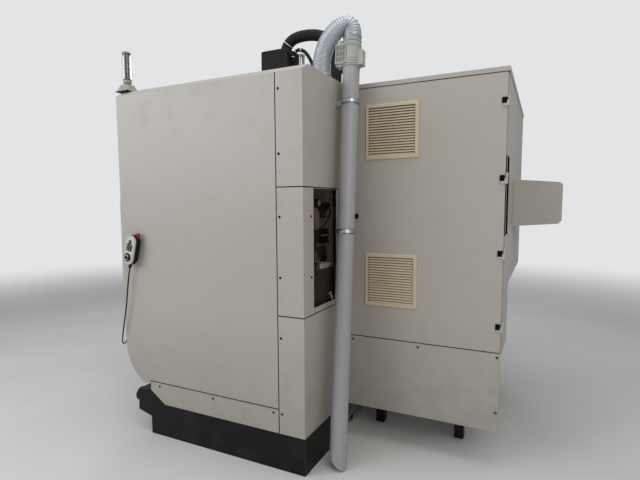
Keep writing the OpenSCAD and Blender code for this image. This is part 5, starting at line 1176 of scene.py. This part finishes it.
class MACHINING_OT_seals(MachiningOperator, bpy.types.Operator):
    """Sets black foam strips in the seams of the covers, which also stand in for the shade in those seams,
    and the gaskets round the door windows
    """
    bl_idname = "machining.seals"
    bl_label = "Seams and gaskets"

    def execute(self, context):
        lip, back = SIDE_X + 0.0007, SIDE_X - 0.0195
        rear_lip = REAR_Y + 0.0007
        foot, top = 0.228, 2.306
        start, end = 0.886, 0.566
        # Partly painted shade: black strips in the cover seams, under the cabinet's roof edge and along the
        # lower edge of its door stand for rubber lips and for the shade in those joints.
        strips = [bar((back, 0.6855, foot), (lip, 0.6888, top)),
                  bar((SIDE_X, 0.6844, foot), (lip, 0.6896, top)),
                  bar((1.1203, -0.3400, 0.3722), (1.1226, 0.6840, 0.3752)),
                  bar((0.5300, start, 2.3042), (0.5494, 1.8500, 2.3082)),
                  bar((0.5300, start, 0.7030), (0.5490, 1.8440, 0.7072)),
                  bar((0.9888, 0.8560, 0.9725), (0.9936, 0.8632, 1.6695))]
        for z in COVER_SEAMS_Z:
            strips += [bar((back, 0.6898, z - 0.0016), (1.1198, 0.8598, z + 0.0016)),
                       bar((SIDE_X, 0.6898, z - 0.0029), (lip, rear_lip, z + 0.0029)),
                       bar((end, 0.8405, z - 0.0016), (back, 0.8598, z + 0.0016)),
                       bar((end, REAR_Y, z - 0.0029), (SIDE_X, rear_lip, z + 0.0029))]
        piece("cover_seals_and_seam_shade", joined(strips), "foam", "frame", smooth=False)
        for side, middle in WINDOWS_X.items():
            gasket = surround(outline(0.376, 0.686, 0.028, 7), outline(0.346, 0.656, 0.014, 7),
                              -0.5510, -0.5545, (0.997, 1.004), (middle, WINDOWS_Z))
            piece("window_gasket_" + side, gasket, "rubber", "door_" + side, crease=40)
        return {"FINISHED"}


PANEL_FRONT = -0.636
UPRIGHT = ((1, 0, 0), (0, 0, 1))


class MACHINING_OT_controls(MachiningOperator, bpy.types.Operator):
    """Makes the operator panel's bezel, key caps, dial ticks and stop ring"""
    bl_idname = "machining.controls"
    bl_label = "Operator panel"

    def execute(self, context):
        column, row = (a.ravel() for a in np.meshgrid(np.arange(9), np.arange(3), indexing="ij"))
        key = placed(slab(0.0262, 0.0222, [(0, 0), (0.0012, 0.0004), (0.0018, 0.0015)], 0.003, FLAT, 3),
                     (0, 0, 0), *UPRIGHT)
        at = np.stack([0.649 + column * 0.036, np.full(len(row), PANEL_FRONT - 0.003), 1.238 - row * 0.032],
                      axis=1)
        piece("panel_keys", repeated(key, at), "white_abs", "frame", crease=30)
        bezel = surround(outline(0.346, 0.286, 0.008, 4), outline(0.316, 0.256, 0.003, 4),
                         PANEL_FRONT + 0.0005, PANEL_FRONT - 0.004, (0.994, 1.006), (0.79, 1.43))
        piece("panel_bezel", bezel, "black_abs", "frame", crease=35)
        count = np.arange(21)
        angles = count * math.radians(13.5) - math.radians(45)
        ticks = spokes(angles, 0.026,
                       np.where(count % 5 == 0, 0.005, 0.003), 0.0008, 0.0, 0.0004, (0, 0, 0))
        piece("feed_ticks", placed(ticks, (1.0, PANEL_FRONT, 1.340), *UPRIGHT), "black_abs", "frame",
              smooth=False)
        stop_ring = ring([(0.0235, 0), (0.030, 0), (0.0295, 0.0016), (0.0235, 0.0016)], 48)
        piece("stop_ring", placed(stop_ring, (1.0, PANEL_FRONT, 1.120), *UPRIGHT), "yellow_abs", "frame",
              crease=35)
        return {"FINISHED"}


def screw_thread(length, radius, pitch, depth, base, axis):
    """A ball screw's thread: the radius falls by depth * (0.5 + 0.5 cos(2 pi h / pitch - a))^4 at height h
    and angle a."""
    rows = int(round(length / pitch * 10)) + 1
    h = np.linspace(0, length, rows)
    core = swing(np.stack([np.full(rows, radius), h], axis=1), 24, base, axis)
    middle = np.asarray(base, float) + h[:, None] * np.asarray(axis, float)
    a = np.arange(24) * 2 * math.pi / 24
    groove = depth / radius * (0.5 + 0.5 * np.cos(2 * math.pi * h[:, None] / pitch - a)) ** 4
    return capped(middle[:, None] + (core - middle[:, None]) * (1 - groove)[..., None])


class MACHINING_OT_screws(MachiningOperator, bpy.types.Operator):
    """Makes the three ball screws with their 16 mm thread"""
    bl_idname = "machining.screws"
    bl_label = "Ball screws"

    def execute(self, context):
        for key, length, base, axis in (("x_screw", 0.888, (-0.444, 0, 0.6753), (1, 0, 0)),
                                        ("y_screw", 0.828, (0, -0.424, 0.530), (0, 1, 0)),
                                        ("z_screw", 1.358, (0, 0.460, 0.891), (0, 0, 1))):
            shape = screw_thread(length, 0.020, 0.016, 0.0022, base, axis)
            piece("ball_" + key, shape, "steel", key, replaces=[key], crease=50)
        return {"FINISHED"}


class MACHINING_OT_materials(MachiningOperator, bpy.types.Operator):
    """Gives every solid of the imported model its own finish"""
    bl_idname = "machining.materials"
    bl_label = "Finishes of the solids"

    def execute(self, context):
        for name, key in NODE_FINISH.items():
            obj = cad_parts[name]
            obj.data.materials.clear()
            obj.data.materials.append(finish(key))
        left = [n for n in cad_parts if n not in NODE_FINISH and n not in
                ("pendant_cord", "flexible_duct", "cable_conduit", "coolant_hose")]
        if left:
            raise RuntimeError("no finish for " + ", ".join(left))
        return {"FINISHED"}


class MACHINING_PT_panel(bpy.types.Panel):
    """Lists the steps that dress the machining centre"""
    bl_idname = "MACHINING_PT_panel"
    bl_label = "Machining centre"
    bl_space_type = "VIEW_3D"
    bl_region_type = "UI"
    bl_category = "Machining"

    def draw(self, context):
        for group in (context.scene.machining_sizes, context.scene.machining_colours):
            box = self.layout.box()
            for key in group.__annotations__:
                box.prop(group, key)
        for step in STEPS:
            self.layout.operator(step.bl_idname)


STEPS = (MACHINING_OT_stage, MACHINING_OT_cable, MACHINING_OT_materials, MACHINING_OT_duct,
         MACHINING_OT_conduit, MACHINING_OT_fasteners, MACHINING_OT_pendant, MACHINING_OT_lamp,
         MACHINING_OT_fan, MACHINING_OT_clamps, MACHINING_OT_service, MACHINING_OT_seals,
         MACHINING_OT_controls, MACHINING_OT_screws)
CLASSES = (MachiningSizes, MachiningColours) + STEPS + (MACHINING_PT_panel,)


def register():
    for c in CLASSES:
        bpy.utils.register_class(c)
    bpy.types.Scene.machining_sizes = bpy.props.PointerProperty(type=MachiningSizes)
    bpy.types.Scene.machining_colours = bpy.props.PointerProperty(type=MachiningColours)


def unregister():
    del bpy.types.Scene.machining_colours
    del bpy.types.Scene.machining_sizes
    for c in reversed(CLASSES):
        bpy.utils.unregister_class(c)


def main():
    """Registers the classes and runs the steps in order."""
    register()
    for step in STEPS:
        group, name = step.bl_idname.split(".")
        getattr(getattr(bpy.ops, group), name)()
    bpy.context.view_layer.update()


if __name__ == "__main__":
    main()
